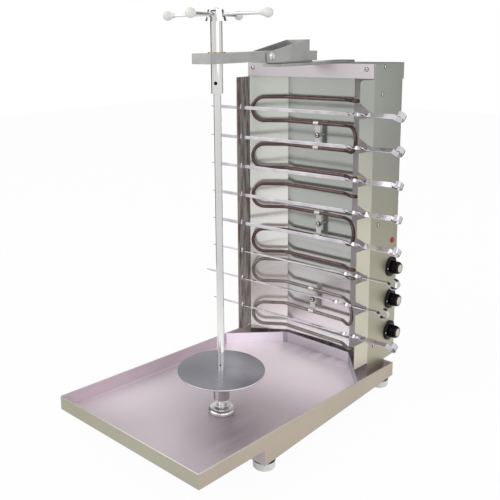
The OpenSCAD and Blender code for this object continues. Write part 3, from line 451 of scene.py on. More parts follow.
# %% Browned sheet and mottled surfaces
RUNS_STRETCH = (90, 90, 16)
RUNS_EDGE = (0.42, 0.58)
MOTTLE_SCALE = 60.0
POWDER_SCALE = 900.0
POWDER_DEPTH = 0.0002
POWDER_ROUGH = 0.06


def stained(name, colour, dark):
    """Sheet that heat and fat have browned in upright runs."""
    material, tree, shader = new_material(name, 0.6)
    runs = object_noise(tree, 1.0, RUNS_STRETCH)
    fine = object_noise(tree, 1.0, ALONG_Z)
    base = mixed(tree, srgb(dark), srgb(colour), spread(tree, runs, 0.0, 1.0, *RUNS_EDGE))
    tree.links.new(base, shader.inputs["Base Color"])
    brush(tree, shader, fine, (0.3, 0.45))
    return material


def coated(name, colour, rough=0.4, metal=0.0, cloud=0.06, bump=0.1, gloss=0.5):
    """Moulded or oxidised surface: a soft mottling and a fine powdery grain."""
    material, tree, shader = new_material(name, metal)
    shader.inputs["Specular IOR Level"].default_value = gloss
    wide = object_noise(tree, MOTTLE_SCALE, EVEN)
    fine = object_noise(tree, POWDER_SCALE, EVEN, detail=2)
    tree.links.new(tinted(tree, srgb(colour), spread(tree, wide, 1 - cloud, 1 + cloud)),
                   shader.inputs["Base Color"])
    tree.links.new(spread(tree, fine, rough - POWDER_ROUGH, rough + POWDER_ROUGH),
                   shader.inputs["Roughness"])
    lift(tree, shader, fine, POWDER_DEPTH, bump)
    return material


print("runs of stain are", RUNS_STRETCH[0] / RUNS_STRETCH[2], "times as tall as wide")

# %% [markdown]
# ## The finishes of this grill
#
# Each finish has a maker's name and a few values: its colour on screen, the direction of its
# grain, how rough and how metallic it is. The bright sheets behind the heaters are polished,
# the housing is dull, and the spit is ground and almost a mirror. Every solid already names its
# finish in the frame's record, and a few of them get a finish of their own here.

# %% Steel finishes
HOUSING_ROUGH = (0.36, 0.5)
PAN_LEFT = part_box("drip_pan")[0].x
CLEAN = {
    # Painted light on the tray's faces: the walls and rims are painted lighter, and the outer
    # front and right side in the tints of the reflections they show.
    "pan_wall_painted_light": dict(colour=(228, 212, 221), rough=(0.36, 0.48), metal=0.35),
    "pan_outer_painted_reflection": dict(colour=(172, 168, 150)),
    "pan_side": dict(colour=(182, 170, 154), grain=ALONG_Y),
    "pan_rim_painted_light": dict(colour=(208, 203, 200), metal=0.6),
    # The two drip guards are one steel: the left one is painted near white as light, the right
    # one darker as shade.
    "guard_steel": dict(colour=(246, 240, 250), metal=0.6),
    "right_guard_painted_shade": dict(colour=(186, 184, 190)),
    "hidden_steel": dict(colour=(150, 150, 150), grain=ALONG_Y),
    "housing_steel": dict(colour=(165, 168, 160), grain=ALONG_Z, rough=HOUSING_ROUGH,
                          low=(178, 174, 154), fade=(0.3, 0.6)),
    # The right flange is the housing's steel, painted lighter for the light it catches in front
    # of the bend, and lighter still towards the bottom.
    "flange_painted_light": dict(colour=(171, 174, 168), grain=ALONG_Z, rough=HOUSING_ROUGH,
                         low=(212, 208, 190), fade=(0.36, 0.62)),
    # The three reflectors are one polished steel. Their different colours are painted light and
    # shade; the left and back ones are painted lighter towards the bottom, a painted reflection
    # of the pale tray, and the right one a little darker there.
    "left_mirror": dict(colour=(204, 208, 200), grain=ALONG_Z, rough=(0.14, 0.22), metal=0.6,
                        low=(252, 250, 246), fade=(0.25, 0.65)),
    "back_mirror": dict(colour=(176, 179, 174), rough=(0.13, 0.22), low=(206, 204, 204),
                        fade=(0.14, 0.34)),
    "right_mirror": dict(colour=(196, 190, 193), grain=ALONG_Z, rough=(0.3, 0.42), metal=0.5,
                         low=(186, 185, 187)),
    "arm_steel": dict(colour=(168, 168, 167), grain=ALONG_Y, cloud=0.1, cloud_scale=25.0),
    "cap_steel": dict(colour=(216, 216, 216), grain=ALONG_Z, rough=(0.15, 0.3), metal=0.9),
    # Painted light: the rod is painted white towards its foot, where it would mirror the dark
    # disc.
    "rod_steel": dict(colour=(212, 212, 210), grain=ALONG_Z, rough=(0.05, 0.12), metal=0.85,
                      low=(255, 255, 253), fade=(0.12, 0.34)),
    "dome_steel": dict(colour=(214, 212, 212), rough=(0.2, 0.3), metal=0.8),
    "hub_steel": dict(colour=(186, 183, 184), grain=ALONG_Z, rough=(0.1, 0.2), metal=1.0),
    "skewer_steel": dict(colour=(204, 200, 206), rough=(0.1, 0.22), metal=0.97, cloud=0.16,
                         cloud_scale=30.0),
    "clip_steel": dict(colour=(204, 202, 198), grain=ALONG_Z),
    "bright_steel": dict(colour=(206, 202, 204), rough=(0.12, 0.24), metal=1.0),
    "bronze": dict(colour=(176, 160, 120), grain=ALONG_Z, metal=0.9),
}
SPOTTED = {
    # On the tray: a painted shadow right of the spit's foot, where the disc shades and mirrors
    # in it; a painted pool of light in the middle, which the housing shades; a lighter patch at
    # the front left; a painted reflection in a thin strip along the foot of the left wall; deep
    # painted shade at the back, in under the housing.
    "pan_steel": dict(colour=(208, 197, 203), metal=0.4, rough=(0.36, 0.5), patch_turn=-35,
                      spots=[((0.13, -0.23), 0.17, 0.62, -20, 0.6),
                             ((0.02, 0.13), 0.5, 0.6, 0, 1.8),
                             ((-0.16, -0.28), 0.2, 0.7, 60, 1.3),
                             ((PAN_LEFT + 0.008, -0.12), 0.32, 0.03, 90, 1.3),
                             ((0.0, 0.27), 0.26, 0.56, 0, 0.08)]),
    "bar_steel": dict(colour=(198, 191, 194), metal=0.5, rough=(0.4, 0.52),
                      spots=[((0.13, 0.12), 0.16, 1.0, 0, 1.3)]),
    "disc_steel": dict(colour=(134, 133, 140), metal=0.7, rough=(0.25, 0.35),
                       spots=[((0.0, -0.22), 0.09, 0.8, 40, 0.7),
                              ((0.09, -0.15), 0.08, 0.7, 30, 1.8),
                              ((0.05, -0.12), 0.06, 0.7, 43, 1.6)]),
}
finish = {name: sheet_steel(name, **values) for name, values in CLEAN.items()}
finish.update({name: spotted_steel(name, **values) for name, values in SPOTTED.items()})
finish["left_flange"] = stained("left_flange", (196, 190, 188), (140, 124, 122))
print("steel finishes:", len(finish))

# %% Other finishes
COATED = {
    "screw_painted_shade": dict(colour=(60, 58, 60), rough=0.5, metal=0.5),
    "element_dark": dict(colour=(98, 76, 74), rough=0.24, metal=0.7, cloud=0.2),
    "element_grey": dict(colour=(126, 122, 117), rough=0.24, metal=0.7, cloud=0.18),
    "ceramic": dict(colour=(214, 200, 164), rough=0.6),
    "foot_plastic": dict(colour=(236, 237, 230), rough=0.45),
    "rubber": dict(colour=(34, 34, 34), rough=0.75),
    "switch_plastic": dict(colour=(60, 60, 64), rough=0.5),
    "terminal_plastic": dict(colour=(214, 214, 204), rough=0.5),
    "ball_ivory": dict(colour=(228, 228, 223), rough=0.2, bump=0.03),
    "insert_ivory": dict(colour=(214, 208, 188), rough=0.45),
    "knob_black": dict(colour=(8, 8, 14), rough=0.3, bump=0.05, gloss=0.2),
    "lamp_red": dict(colour=(180, 16, 32), rough=0.2, bump=0.02),
    "mark_white": dict(colour=(232, 232, 228)),
    "hole_painted_shade": dict(colour=(14, 14, 14), rough=0.8),
}
finish.update({name: coated(name, **values) for name, values in COATED.items()})
slot_of = {part["node"]: part["material_slot"] for part in frame["record"]["subparts"]}
own_finish = {"dome_bearing": "dome_steel", "disc_hub": "hub_steel", "top_bar": "bar_steel",
              "right_drip_guard": "right_guard_painted_shade", "left_reflector": "left_mirror",
              "back_reflector": "back_mirror", "right_reflector": "right_mirror"}
for name, node in nodes.items():
    node.data.materials.clear()
    node.data.materials.append(finish[own_finish.get(name, slot_of[name])])
print("finishes in all:", len(finish))

# %% [markdown]
# ## Bent sheet
#
# A press brake leaves every fold with a small radius, and cut edges are deburred, so no edge of
# real sheet is razor sharp. Each sheet piece is copied, its flat faces are joined up again and
# its edges get a small round. The round catches a thin line of light, as on the real grill. The
# flat faces keep their exact places, so the copy stays inside the space of the original. Faces
# are flat or smooth by their size: a large one that shades smoothly would show a false shadow.

# %% Copies of the solids
WELD = 1e-6


def plain_copy(node_name):
    """A copy of a node's mesh without stored normals, so that it shades from its own faces."""
    mesh = nodes[node_name].data.copy()
    if "custom_normal" in mesh.attributes:
        mesh.attributes.remove(mesh.attributes["custom_normal"])
    return mesh


def welded(mesh):
    """The mesh for editing, with the corners of touching triangles merged."""
    work = bmesh.new()
    work.from_mesh(mesh)
    bmesh.ops.remove_doubles(work, verts=work.verts, dist=WELD)
    return work


def stand_in(name, mesh, node_name):
    """Shows this mesh in the place of a node, on the same body."""
    copy = put(name, mesh)
    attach(copy, body_of[node_name])
    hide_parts(node_name)
    return copy


print("corners nearer than", WELD * 1000, "mm are merged")

# %% Rounded copies of the sheet pieces
FLAT_AREA = 6e-5
FLAT_ANGLE = math.radians(1.0)
ROUNDED_FROM = math.radians(40)
SHARP_FROM = math.radians(50)


def rounded_copy(node_name, radius_mm, dress=None, reshape=None):
    mesh = plain_copy(node_name)
    mesh.name = node_name + "_rounded"
    work = welded(mesh)
    bmesh.ops.dissolve_limit(work, angle_limit=FLAT_ANGLE, verts=work.verts,
                             edges=work.edges, use_dissolve_boundaries=False)
    if reshape:
        reshape(work)
    sharp = [edge for edge in work.edges
             if len(edge.link_faces) == 2 and edge.calc_face_angle(0) > ROUNDED_FROM]
    made = bmesh.ops.bevel(work, geom=sharp, offset=radius_mm / 1000, segments=2, profile=0.5,
                           affect="EDGES", clamp_overlap=True)
    edge_faces = set(made["faces"])
    for face in work.faces:
        face.smooth = face in edge_faces or face.calc_area() < FLAT_AREA
    bmesh.ops.triangulate(work, faces=[face for face in work.faces if len(face.verts) > 4])
    work.to_mesh(mesh)
    work.free()
    rounded = [face.use_smooth for face in mesh.polygons]
    mesh.set_sharp_from_angle(angle=SHARP_FROM)
    mesh.polygons.foreach_set("use_smooth", rounded)
    mesh.materials.clear()
    mesh.materials.append(nodes[node_name].data.materials[0])
    if dress:
        dress(mesh)
    return stand_in(node_name + "_sheet", mesh, node_name)


print("rounds are made on edges over", round(math.degrees(ROUNDED_FROM)), "degrees")

# %% [markdown]
# ## A second finish or painted light on one sheet
#
# The tray is one folded sheet, but its outer walls, its inner walls and its rims each catch
# another light, so each gets a colour of painted light or reflection. The flanges in front of
# the housing stand at another angle than its sides, and the right one is painted lighter.
# Separate objects would leave seams, so the faces of one mesh are sorted by place and direction
# and get a second material.

# %% Faces with a finish or painted light of their own
WALL = 0.004
SKIN = 0.0006
RIM_Z = 0.05
FLANGE_Y = 0.1555


def paint(mesh, finish_name, chosen):
    """Gives a second finish, or a colour painted for light, to the faces for which
    chosen(centre, normal) is true.
    """
    mesh.materials.append(finish[finish_name])
    index = len(mesh.materials) - 1
    for face in mesh.polygons:
        if chosen(face.center, face.normal):
            face.material_index = index


def dress_pan(mesh):
    low = [min(v.co[i] for v in mesh.vertices) for i in range(3)]
    high = [max(v.co[i] for v in mesh.vertices) for i in range(3)]

    def side(centre):
        return min(centre.x - low[0], high[0] - centre.x, centre.y - low[1])

    # Each set of faces gets the colour painted for the light or reflection that it catches.
    paint(mesh, "pan_wall_painted_light", lambda c, n: side(c) < WALL and abs(n.z) < 0.5)
    paint(mesh, "pan_outer_painted_reflection", lambda c, n: side(c) < SKIN and n.y < -0.5)
    paint(mesh, "pan_side", lambda c, n: side(c) < SKIN and n.x > 0.5)
    paint(mesh, "pan_rim_painted_light", lambda c, n: side(c) < WALL and n.z > 0.25 and c.z > RIM_Z)


def dress_flange(mesh):
    """The flange in front of the bend stands at a slightly different angle and is painted
    lighter for the light it catches.
    """
    paint(mesh, "flange_painted_light", lambda c, n: c.y < FLANGE_Y and n.x > 0.5)


def dress_left_panel(mesh):
    """Inside, the left flange is browned by the heat in front of it."""
    paint(mesh, "left_flange", lambda c, n: c.y < FLANGE_Y and n.x > 0.5)


def dress_disc(mesh):
    """The disc's turned edge is bright; its faces are dull."""
    paint(mesh, "cap_steel", lambda c, n: abs(n.z) < 0.9)


dressing = {"drip_pan": dress_pan, "carrier_disc": dress_disc, "right_side_panel": dress_flange,
            "left_side_panel": dress_left_panel}
print("sheets with a second finish:", len(dressing))

# %% [markdown]
# ## The left flange's square corner
#
# The upper front corner of the left flange is cut square, while the solid has it rounded. A new
# sheet would be a lot of work for one corner. Instead the points on the round are pushed
# outwards until they lie on the square. The flange leans inwards, so each point also moves
# sideways by the flange's own slope and stays in its plane.

# %% The corner, and all the sheets
CORNER_R = 0.010
HAIR = 1e-5


def flange_slope():
    """How far the left flange moves inwards for each metre towards the front."""
    mesh = nodes["left_side_panel"].data
    front = min(v.co.y for v in mesh.vertices)
    low_x = min(v.co.x for v in mesh.vertices)
    tip = min(v.co.x for v in mesh.vertices if v.co.y < front + HAIR)
    bend = min(v.co.y for v in mesh.vertices if v.co.x < low_x + HAIR)
    return (tip - low_x) / (bend - front)


FLANGE_SLOPE = flange_slope()


def square_corner(work):
    front = min(v.co.y for v in work.verts)
    top = max(v.co.z for v in work.verts if v.co.y < front + CORNER_R + 0.002)
    for vert in work.verts:
        y = vert.co.y - (front + CORNER_R)
        z = vert.co.z - (top - CORNER_R)
        if y < -WELD and z > WELD:
            grow = CORNER_R / max(-y, z)
            new_y = front + CORNER_R + y * grow
            vert.co.x += (vert.co.y - new_y) * FLANGE_SLOPE
            vert.co.y = new_y
            vert.co.z = top - CORNER_R + z * grow


EDGE_RADIUS_MM = {"drip_pan": 0.7, "left_drip_guard": 0.4, "right_drip_guard": 0.4,
                  "left_side_panel": 0.5, "right_side_panel": 0.5, "rear_cover": 0.4,
                  "roof_cover": 0.5, "top_bar": 0.5, "left_reflector": 0.3,
                  "back_reflector": 0.3, "right_reflector": 0.3, "bracket_plate": 0.8,
                  "roof_bracket": 0.7, "front_arm": 0.8, "handle_cap": 0.4,
                  "terminal_block": 0.6, "rotary_switches": 0.3, "base_plate": 0.4,
                  "carrier_disc": 0.6}
reshaping = {"left_side_panel": square_corner}
sheets = {name: rounded_copy(name, radius, dressing.get(name), reshaping.get(name))
          for name, radius in EDGE_RADIUS_MM.items()}
print("rounded sheets:", {name: len(copy.data.polygons) for name, copy in sheets.items()})
print("flange slope:", round(FLANGE_SLOPE, 4))

# %% [markdown]
# ## Skewers
#
# A kebab skewer starts as one flat strip. The maker grinds a point, holds the blade and twists
# the strip a full turn near the other end, and bends that end into an open hook. So the mesh is
# made the same way: one rounded cross-section is carried along the strip's middle line, and
# only its turn, its width and its heading change from place to place. Wide faces stay apart
# from the narrow rounds in the shading, which keeps the reflections on the twist crisp.

# %% The strip's sizes and cross-section
BLADE_W = 8.0
HANDLE_W = 12.0
TIP_W = 1.2
STRIP_T = 2.0
REACH = 422.95
TIP = 24.0
NECK_START = -56.0
NECK_END = -3.0
WIDEN_START = -9.0
WIDEN_LENGTH = 6.0
HANDLE_END = 52.0
BEND_LENGTH = 2.0
BEND_DROP = 0.3
HOOK_R = 10.5
HOOK_ENTRY = 9.0
HOOK_SWEEP = 230
CORNER_LEAD = (0.6, 0.7)
NECK_STEPS = 48
BEND_STEPS = 4
HOOK_STEPS = 28
EDGE_R = 0.5
EDGE_SHARE = 2.2
EDGE_STEPS = 3
HANDLE_TURN = [46, 50, 36, 38, 45, 90, 90, 60]
BLADE_TURN = [0, 0, 0, 0, 0, 90, 90, 90]
SLIP = [0, 0, 0, 0, 0, 0, 22, 0]


def strip_profile(width, thickness):
    """The strip's outline as (across, along thickness) points, rounded at the four corners."""
    points = []
    r = min(EDGE_R, width / EDGE_SHARE)
    for k, (sx, sy) in enumerate(((1, 1), (-1, 1), (-1, -1), (1, -1))):
        for i in range(EDGE_STEPS + 1):
            angle = math.radians(90 * k + 90 * i / EDGE_STEPS)
            points.append((sx * (width / 2 - r) + r * math.cos(angle),
                           sy * (thickness / 2 - r) + r * math.sin(angle)))
    return points


print("points round the strip:", len(strip_profile(BLADE_W, STRIP_T)))

# %% Places along a skewer
def blade_and_neck(n):
    """From the point to the handle: the blade is straight, the neck twists."""
    twist = (BLADE_TURN[n] + HANDLE_TURN[n] + 90) % 180 - 90 - 360
    places = [(-REACH, 0, 0, twist, TIP_W)]
    places += [(x, 0, 0, twist, BLADE_W)
               for x in (-REACH + TIP, -REACH + TIP + 1, NECK_START - 1)]
    for i in range(NECK_STEPS + 1):
        share = i / NECK_STEPS
        x = NECK_START + (NECK_END - NECK_START) * share
        wider = max(0.0, (x - WIDEN_START) / WIDEN_LENGTH)
        places.append((x, 0, 0, twist * (1 - share), BLADE_W + (HANDLE_W - BLADE_W) * wider))
    return places


def handle_and_hook():
    """The straight handle, a short bend away from the hook's side, and the open hook."""
    places = [(x, 0, 0, 0, HANDLE_W) for x in (NECK_END + 1, HANDLE_END - 1)]
    slant = math.degrees(math.asin(HOOK_R / math.hypot(HOOK_R, HOOK_ENTRY)))
    across, along = math.sin(math.radians(slant)), math.cos(math.radians(slant))
    corner = (HANDLE_END + HOOK_ENTRY * along, -HOOK_ENTRY * across)
    for i in range(1, BEND_STEPS):
        places.append((HANDLE_END - 1 + BEND_LENGTH * i / BEND_STEPS,
                       -BEND_DROP * (i / BEND_STEPS) ** 2, -slant * i / BEND_STEPS, 0,
                       HANDLE_W))
    places.append((corner[0] - CORNER_LEAD[0], corner[1] + CORNER_LEAD[1], -slant, 0,
                   HANDLE_W))
    centre = (corner[0] + HOOK_R * across, corner[1] + HOOK_R * along)
    for i in range(HOOK_STEPS + 1):
        heading = -slant + HOOK_SWEEP * i / HOOK_STEPS
        places.append((centre[0] + HOOK_R * math.sin(math.radians(heading)),
                       centre[1] - HOOK_R * math.cos(math.radians(heading)),
                       heading, 0, HANDLE_W))
    return places


def strip_places(n):
    """Places along skewer n: (x, y, heading, turn about the strip, width), mm and degrees."""
    return blade_and_neck(n) + handle_and_hook()


print("places along a skewer:", len(strip_places(0)))

# %% All eight skewers
def skewer_mesh(n, place, axis):
    places = strip_places(n)
    verts = []
    for x, y, heading, turn, width in places:
        section_turn = (Matrix.Rotation(math.radians(heading), 3, "Z") @
                        Matrix.Rotation(math.radians(turn), 3, "X"))
        for across, thick in strip_profile(width, STRIP_T):
            verts.append(Vector((x, y, 0)) + section_turn @ Vector((0, thick, across)))
    count = 4 * (EDGE_STEPS + 1)
    last = (len(places) - 1) * count
    faces = [(i * count + k, i * count + (k + 1) % count, (i + 1) * count + (k + 1) % count,
              (i + 1) * count + k)
             for i in range(len(places) - 1) for k in range(count)]
    faces.append(list(reversed(range(count))))
    faces.append([last + k for k in range(count)])
    mesh = bpy.data.meshes.new("skewer_%d_strip" % (n + 1))
    mesh.from_pydata(verts, [], faces)
    work = bmesh.new()
    work.from_mesh(mesh)
    bmesh.ops.recalc_face_normals(work, faces=work.faces)
    for face in work.faces:
        face.smooth = True
    for edge in work.edges:
        a, b = (vert.index % count for vert in edge.verts)
        flat_side = a == b and a % (EDGE_STEPS + 1) in (0, EDGE_STEPS)
        edge.smooth = not (flat_side or edge.calc_face_angle(0) > SHARP_FROM)
    work.to_mesh(mesh)
    work.free()
    mesh.transform(Matrix.Translation(Vector(place)) @
                   Matrix.Rotation(math.atan2(axis[1], axis[0]), 4, "Z") @
                   Matrix.Scale(0.001, 4) @ Matrix.Translation((-SLIP[n], 0, 0)) @
                   Matrix.Rotation(math.radians(180 - HANDLE_TURN[n]), 4, "X"))
    mesh.materials.append(finish["skewer_steel"])
    return mesh


joints = {joint["name"]: joint for joint in frame["record"]["behaviour"]["joints"]}
for n in range(len(SLIP)):
    joint = joints["skewer_%d_turn" % (n + 1)]
    strip = put("skewer_%d_strip" % (n + 1), skewer_mesh(n, joint["pos_m"], joint["axis"]))
    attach(strip, "skewer_%d" % (n + 1))
    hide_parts("skewer_%d" % (n + 1))
    low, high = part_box("skewer_%d" % (n + 1))
    print("skewer", n + 1, "from", round(low.x, 4), "to", round(high.x, 4), "in the solid,",
          [round(f(v.co.x for v in strip.data.vertices), 4) for f in (min, max)], "here")

# %% [markdown]
# ## Screws with a cross recess
#
# All the sheet metal screws are the same: a pan head with a cross recess, on a thin ring. The
# recess could be a dark pattern, but it catches light, so it is cut out of the head. One head is
# modelled, and faces that lie deep or on the ring are marked, so that they get painted shade
# later: dark in the recess, and a dark ring as a painted shadow gap round the head.

# %% Turned and cut pieces
TURNED_SHARP = math.radians(35)


def turned(name, profile, steps=32):
    """A closed turned piece about +Z from (radius, height) pairs, both in millimetres."""
    corners = []
    faces = []
    for i in range(steps):
        angle = 2 * math.pi * i / steps
        corners += [(r / 1000 * math.cos(angle), r / 1000 * math.sin(angle), h / 1000)
                    for r, h in profile]
    count = len(profile)
    for i in range(steps):
        j = (i + 1) % steps
        faces += [(i * count + k, j * count + k, j * count + k + 1, i * count + k + 1)
                  for k in range(count - 1)]
    faces.append([i * count for i in reversed(range(steps))])
    faces.append([i * count + count - 1 for i in range(steps)])
    mesh = bpy.data.meshes.new(name)
    mesh.from_pydata(corners, [], faces)
    return mesh


def cut_out(body, cutter, name, crossed=False):
    """A new mesh: the body less the cutter, whose bars may be crossed. Both objects go."""
    cut = body.modifiers.new("cut", "BOOLEAN")
    cut.object = cutter
    cut.operation = "DIFFERENCE"
    cut.use_self = crossed
    graph = bpy.context.evaluated_depsgraph_get()
    done = bpy.data.meshes.new_from_object(body.evaluated_get(graph))
    done.name = name
    bpy.data.objects.remove(body)
    bpy.data.objects.remove(cutter)
    done.polygons.foreach_set("use_smooth", [True] * len(done.polygons))
    done.set_sharp_from_angle(angle=TURNED_SHARP)
    done.materials.clear()
    return done


print("turned pieces stay sharp over", round(math.degrees(TURNED_SHARP)), "degrees")

# %% One screw head
PANEL_SCREW = dict(head_r=4.0, ring=0.9, head_h=2.2, shaft_r=2.0, shaft_len=8.0)
CLIP_SCREW = dict(head_r=4.4, ring=1.7, head_h=2.6, shaft_r=2.0, shaft_len=1.2)
HEAD_CURVE = [(1.0, 0.55), (0.92, 0.8), (0.7, 0.96), (0.45, 1.0)]
RING_H = 0.35
RECESS_LENGTH = 1.1
RECESS_WIDTH = 0.24
RECESS_RISE = 0.95
RECESS_TOP = 0.92
RECESS_REACH = 2.2


def cross_cutter(head_r, head_h):
    """Two crossed bars that reach into the head from above, in shares of its size."""
    mesh = bpy.data.meshes.new("screw_cross")
    work = bmesh.new()
    for turn in (0, 90):
        bar = bmesh.ops.create_cube(work, size=1)["verts"]
        bmesh.ops.scale(work, verts=bar, vec=(RECESS_LENGTH * head_r / 1000,
                                              RECESS_WIDTH * head_r / 1000, head_h / 1000))
        bmesh.ops.rotate(work, verts=bar, cent=(0, 0, 0),
                         matrix=Matrix.Rotation(math.radians(turn), 3, "Z"))
        bmesh.ops.translate(work, verts=bar, vec=(0, 0, RECESS_RISE * head_h / 1000))
    work.to_mesh(mesh)
    work.free()
    return mesh


def cross_screw_mesh(head_r, ring, head_h, shaft_r, shaft_len):
    """Pan head screw facing +Z on a thin ring, with its seat at the origin. Sizes in mm."""
    profile = [(shaft_r, -shaft_len), (shaft_r, 0), (head_r + ring, 0),
               (head_r + ring, RING_H), (head_r, RING_H)]
    profile += [(share * head_r, rise * head_h) for share, rise in HEAD_CURVE]
    done = cut_out(put("screw_body", turned("screw_head", profile)),
                   put("screw_cutter", cross_cutter(head_r, head_h)), "cross_screw",
                   crossed=True)
    # Faces deep in the cross and on the ring are marked for painted shade: shade in the recess
    # and a shadow gap round the head.
    dark = done.attributes.new("dark", "BOOLEAN", "FACE")
    for item, face in zip(dark.data, done.polygons):
        from_axis = math.hypot(face.center.x, face.center.y)
        deep = face.center.z < RECESS_TOP * head_h / 1000 and from_axis < RECESS_REACH / 1000
        on_ring = from_axis > head_r / 1000 and face.center.z > 0
        item.value = on_ring or deep
    return done


panel_screw = cross_screw_mesh(**PANEL_SCREW)
print("faces of one screw:", len(panel_screw.polygons))

# %% [markdown]
# ## One piece on many points
#
# Copies of the head could be placed in a loop, but a node group does the same in one go and
# works for any piece. It takes points that carry the direction each piece faces, sets the piece
# on them, and gives the marked faces the dark colour of painted shade. The result is then turned
# into one plain mesh, because only real faces are exported.

# %% A node group that sets one piece on many points
def make_setter():
    group = bpy.data.node_groups.new("set_on_points", "GeometryNodeTree")
    for name, side, kind in (("Geometry", "INPUT", "Geometry"), ("Piece", "INPUT", "Object"),
                             ("Geometry", "OUTPUT", "Geometry"),
                             ("Finish", "INPUT", "Material"),
                             ("Painted shade", "INPUT", "Material")):
        group.interface.new_socket(name=name, in_out=side, socket_type="NodeSocket" + kind)
    start = group.nodes.new("NodeGroupInput")
    end = group.nodes.new("NodeGroupOutput")
    piece = group.nodes.new("GeometryNodeObjectInfo")
    facing = group.nodes.new("GeometryNodeInputNamedAttribute")
    facing.data_type = "FLOAT_VECTOR"
    facing.inputs["Name"].default_value = "facing"
    align = group.nodes.new("FunctionNodeAlignRotationToVector")
    align.axis = "Z"
    on_points = group.nodes.new("GeometryNodeInstanceOnPoints")
    real = group.nodes.new("GeometryNodeRealizeInstances")
    paint_all = group.nodes.new("GeometryNodeSetMaterial")
    paint_dark = group.nodes.new("GeometryNodeSetMaterial")
    dark = group.nodes.new("GeometryNodeInputNamedAttribute")
    dark.data_type = "BOOLEAN"
    dark.inputs["Name"].default_value = "dark"
    link = group.links.new
    link(start.outputs["Piece"], piece.inputs["Object"])
    link(start.outputs["Geometry"], on_points.inputs["Points"])
    link(piece.outputs["Geometry"], on_points.inputs["Instance"])
    link(facing.outputs["Attribute"], align.inputs["Vector"])
    link(align.outputs["Rotation"], on_points.inputs["Rotation"])
    link(on_points.outputs["Instances"], real.inputs["Geometry"])
    link(real.outputs["Geometry"], paint_all.inputs["Geometry"])
    link(start.outputs["Finish"], paint_all.inputs["Material"])
    link(paint_all.outputs["Geometry"], paint_dark.inputs["Geometry"])
    link(dark.outputs["Attribute"], paint_dark.inputs["Selection"])
    link(start.outputs["Painted shade"], paint_dark.inputs["Material"])
    link(paint_dark.outputs["Geometry"], end.inputs["Geometry"])
    return group


SETTER = make_setter()
SOCKET = {item.name: item.identifier for item in SETTER.interface.items_tree
          if item.in_out == "INPUT"}
print("inputs of the node group:", sorted(SOCKET))

# %% Run the node group and keep a plain mesh
def set_on_points(name, places, piece_mesh):
    """places: (point, direction) pairs in metres. Returns one object with all the pieces."""
    base = bpy.data.meshes.new(name + "_points")
    base.from_pydata([point for point, _ in places], [], [])
    facing = base.attributes.new("facing", "FLOAT_VECTOR", "POINT")
    for item, (_, direction) in zip(facing.data, places):
        item.vector = direction
    piece = put(name + "_piece", piece_mesh)
    carrier = put(name + "_carrier", base)
    setter = carrier.modifiers.new("setter", "NODES")
    setter.node_group = SETTER
    setter[SOCKET["Piece"]] = piece
    setter[SOCKET["Finish"]] = finish["bright_steel"]
    setter[SOCKET["Painted shade"]] = finish["screw_painted_shade"]
    graph = bpy.context.evaluated_depsgraph_get()
    graph.update()
    mesh = bpy.data.meshes.new_from_object(carrier.evaluated_get(graph))
    mesh.name = name
    bpy.data.objects.remove(piece)
    bpy.data.objects.remove(carrier)
    return put(name, mesh)


print("nodes in the group:", len(SETTER.nodes))

# %% [markdown]
# ## The panel screws
#
# The solids hold a plain screw at each place. Their boxes tell where the heads sit and which way
# they face: the longest side of a box is the screw's axis, and the head is on its outer end. So
# no place has to be written down again, and the screws follow the frame if it changes.

# %% Set the panel screws
FRONT_SCREWS_Y = 0.2


def loose_parts(node_name):
    """The boxes of a node's separate solids, as (low, high) corners."""
    work = welded(nodes[node_name].data)
    seen = set()
    boxes = []
    for start in work.verts:
        if start.index in seen:
            continue
        stack = [start]
        part = []
        seen.add(start.index)
        while stack:
            vert = stack.pop()
            part.append(vert.co.copy())
            for edge in vert.link_edges:
                other = edge.other_vert(vert)
                if other.index not in seen:
                    seen.add(other.index)
                    stack.append(other)
        boxes.append(tuple(Vector([pick(co[i] for co in part) for i in range(3)])
                           for pick in (min, max)))
    work.free()
    return boxes


def screw_places():
    """Seat and facing of each sheet metal screw, read from the solids' boxes."""
    places = []
    for low, high in loose_parts("panel_screws"):
        size = high - low
        middle = (low + high) / 2
        axis = max(range(3), key=lambda i: size[i])
        outward = -1 if (axis == 1 and middle.y < FRONT_SCREWS_Y) else 1
        if axis == 0:
            outward = 1 if middle.x > 0 else -1
        direction = Vector([outward if i == axis else 0 for i in range(3)])
        tip = high[axis] if outward > 0 else low[axis]
        seat = middle.copy()
        seat[axis] = tip - outward * PANEL_SCREW["head_h"] / 1000
        places.append((seat, direction))
    return places


places = screw_places()
screws = set_on_points("panel_screw_heads", places, panel_screw)
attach(screws, "frame")
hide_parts("panel_screws")
print("screws:", len(places), "faces:", len(screws.data.polygons))

# %% [markdown]
# ## The clip screws
#
# Each heater clip is held to the back sheet by one larger screw in its middle. The solids leave
# it out, so its place is found by looking at every tall clip from the front: where the line of
# sight meets the plate, the screw has its seat. The same node group sets the screws there.

# %% A screw in the middle of each heater clip
TALL_CLIP = 0.04
VIEW_DISTANCE = 0.1
BACKWARD = Vector((0, 1, 0))

clip_mesh = nodes["element_clips"].data
clips = BVHTree.FromPolygons([v.co for v in clip_mesh.vertices],
                             [face.vertices for face in clip_mesh.polygons])
clip_places = []
for low, high in loose_parts("element_clips"):
    if high.z - low.z < TALL_CLIP:
        continue
    eye = Vector(((low.x + high.x) / 2, low.y - VIEW_DISTANCE, (low.z + high.z) / 2))
    plate = clips.ray_cast(eye, BACKWARD)[0]
    if plate:
        clip_places.append((plate, -BACKWARD))
clip_screws = set_on_points("clip_screws", clip_places, cross_screw_mesh(**CLIP_SCREW))
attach(clip_screws, "frame")
print("clip screws:", [[round(c, 4) for c in place] for place, _ in clip_places])

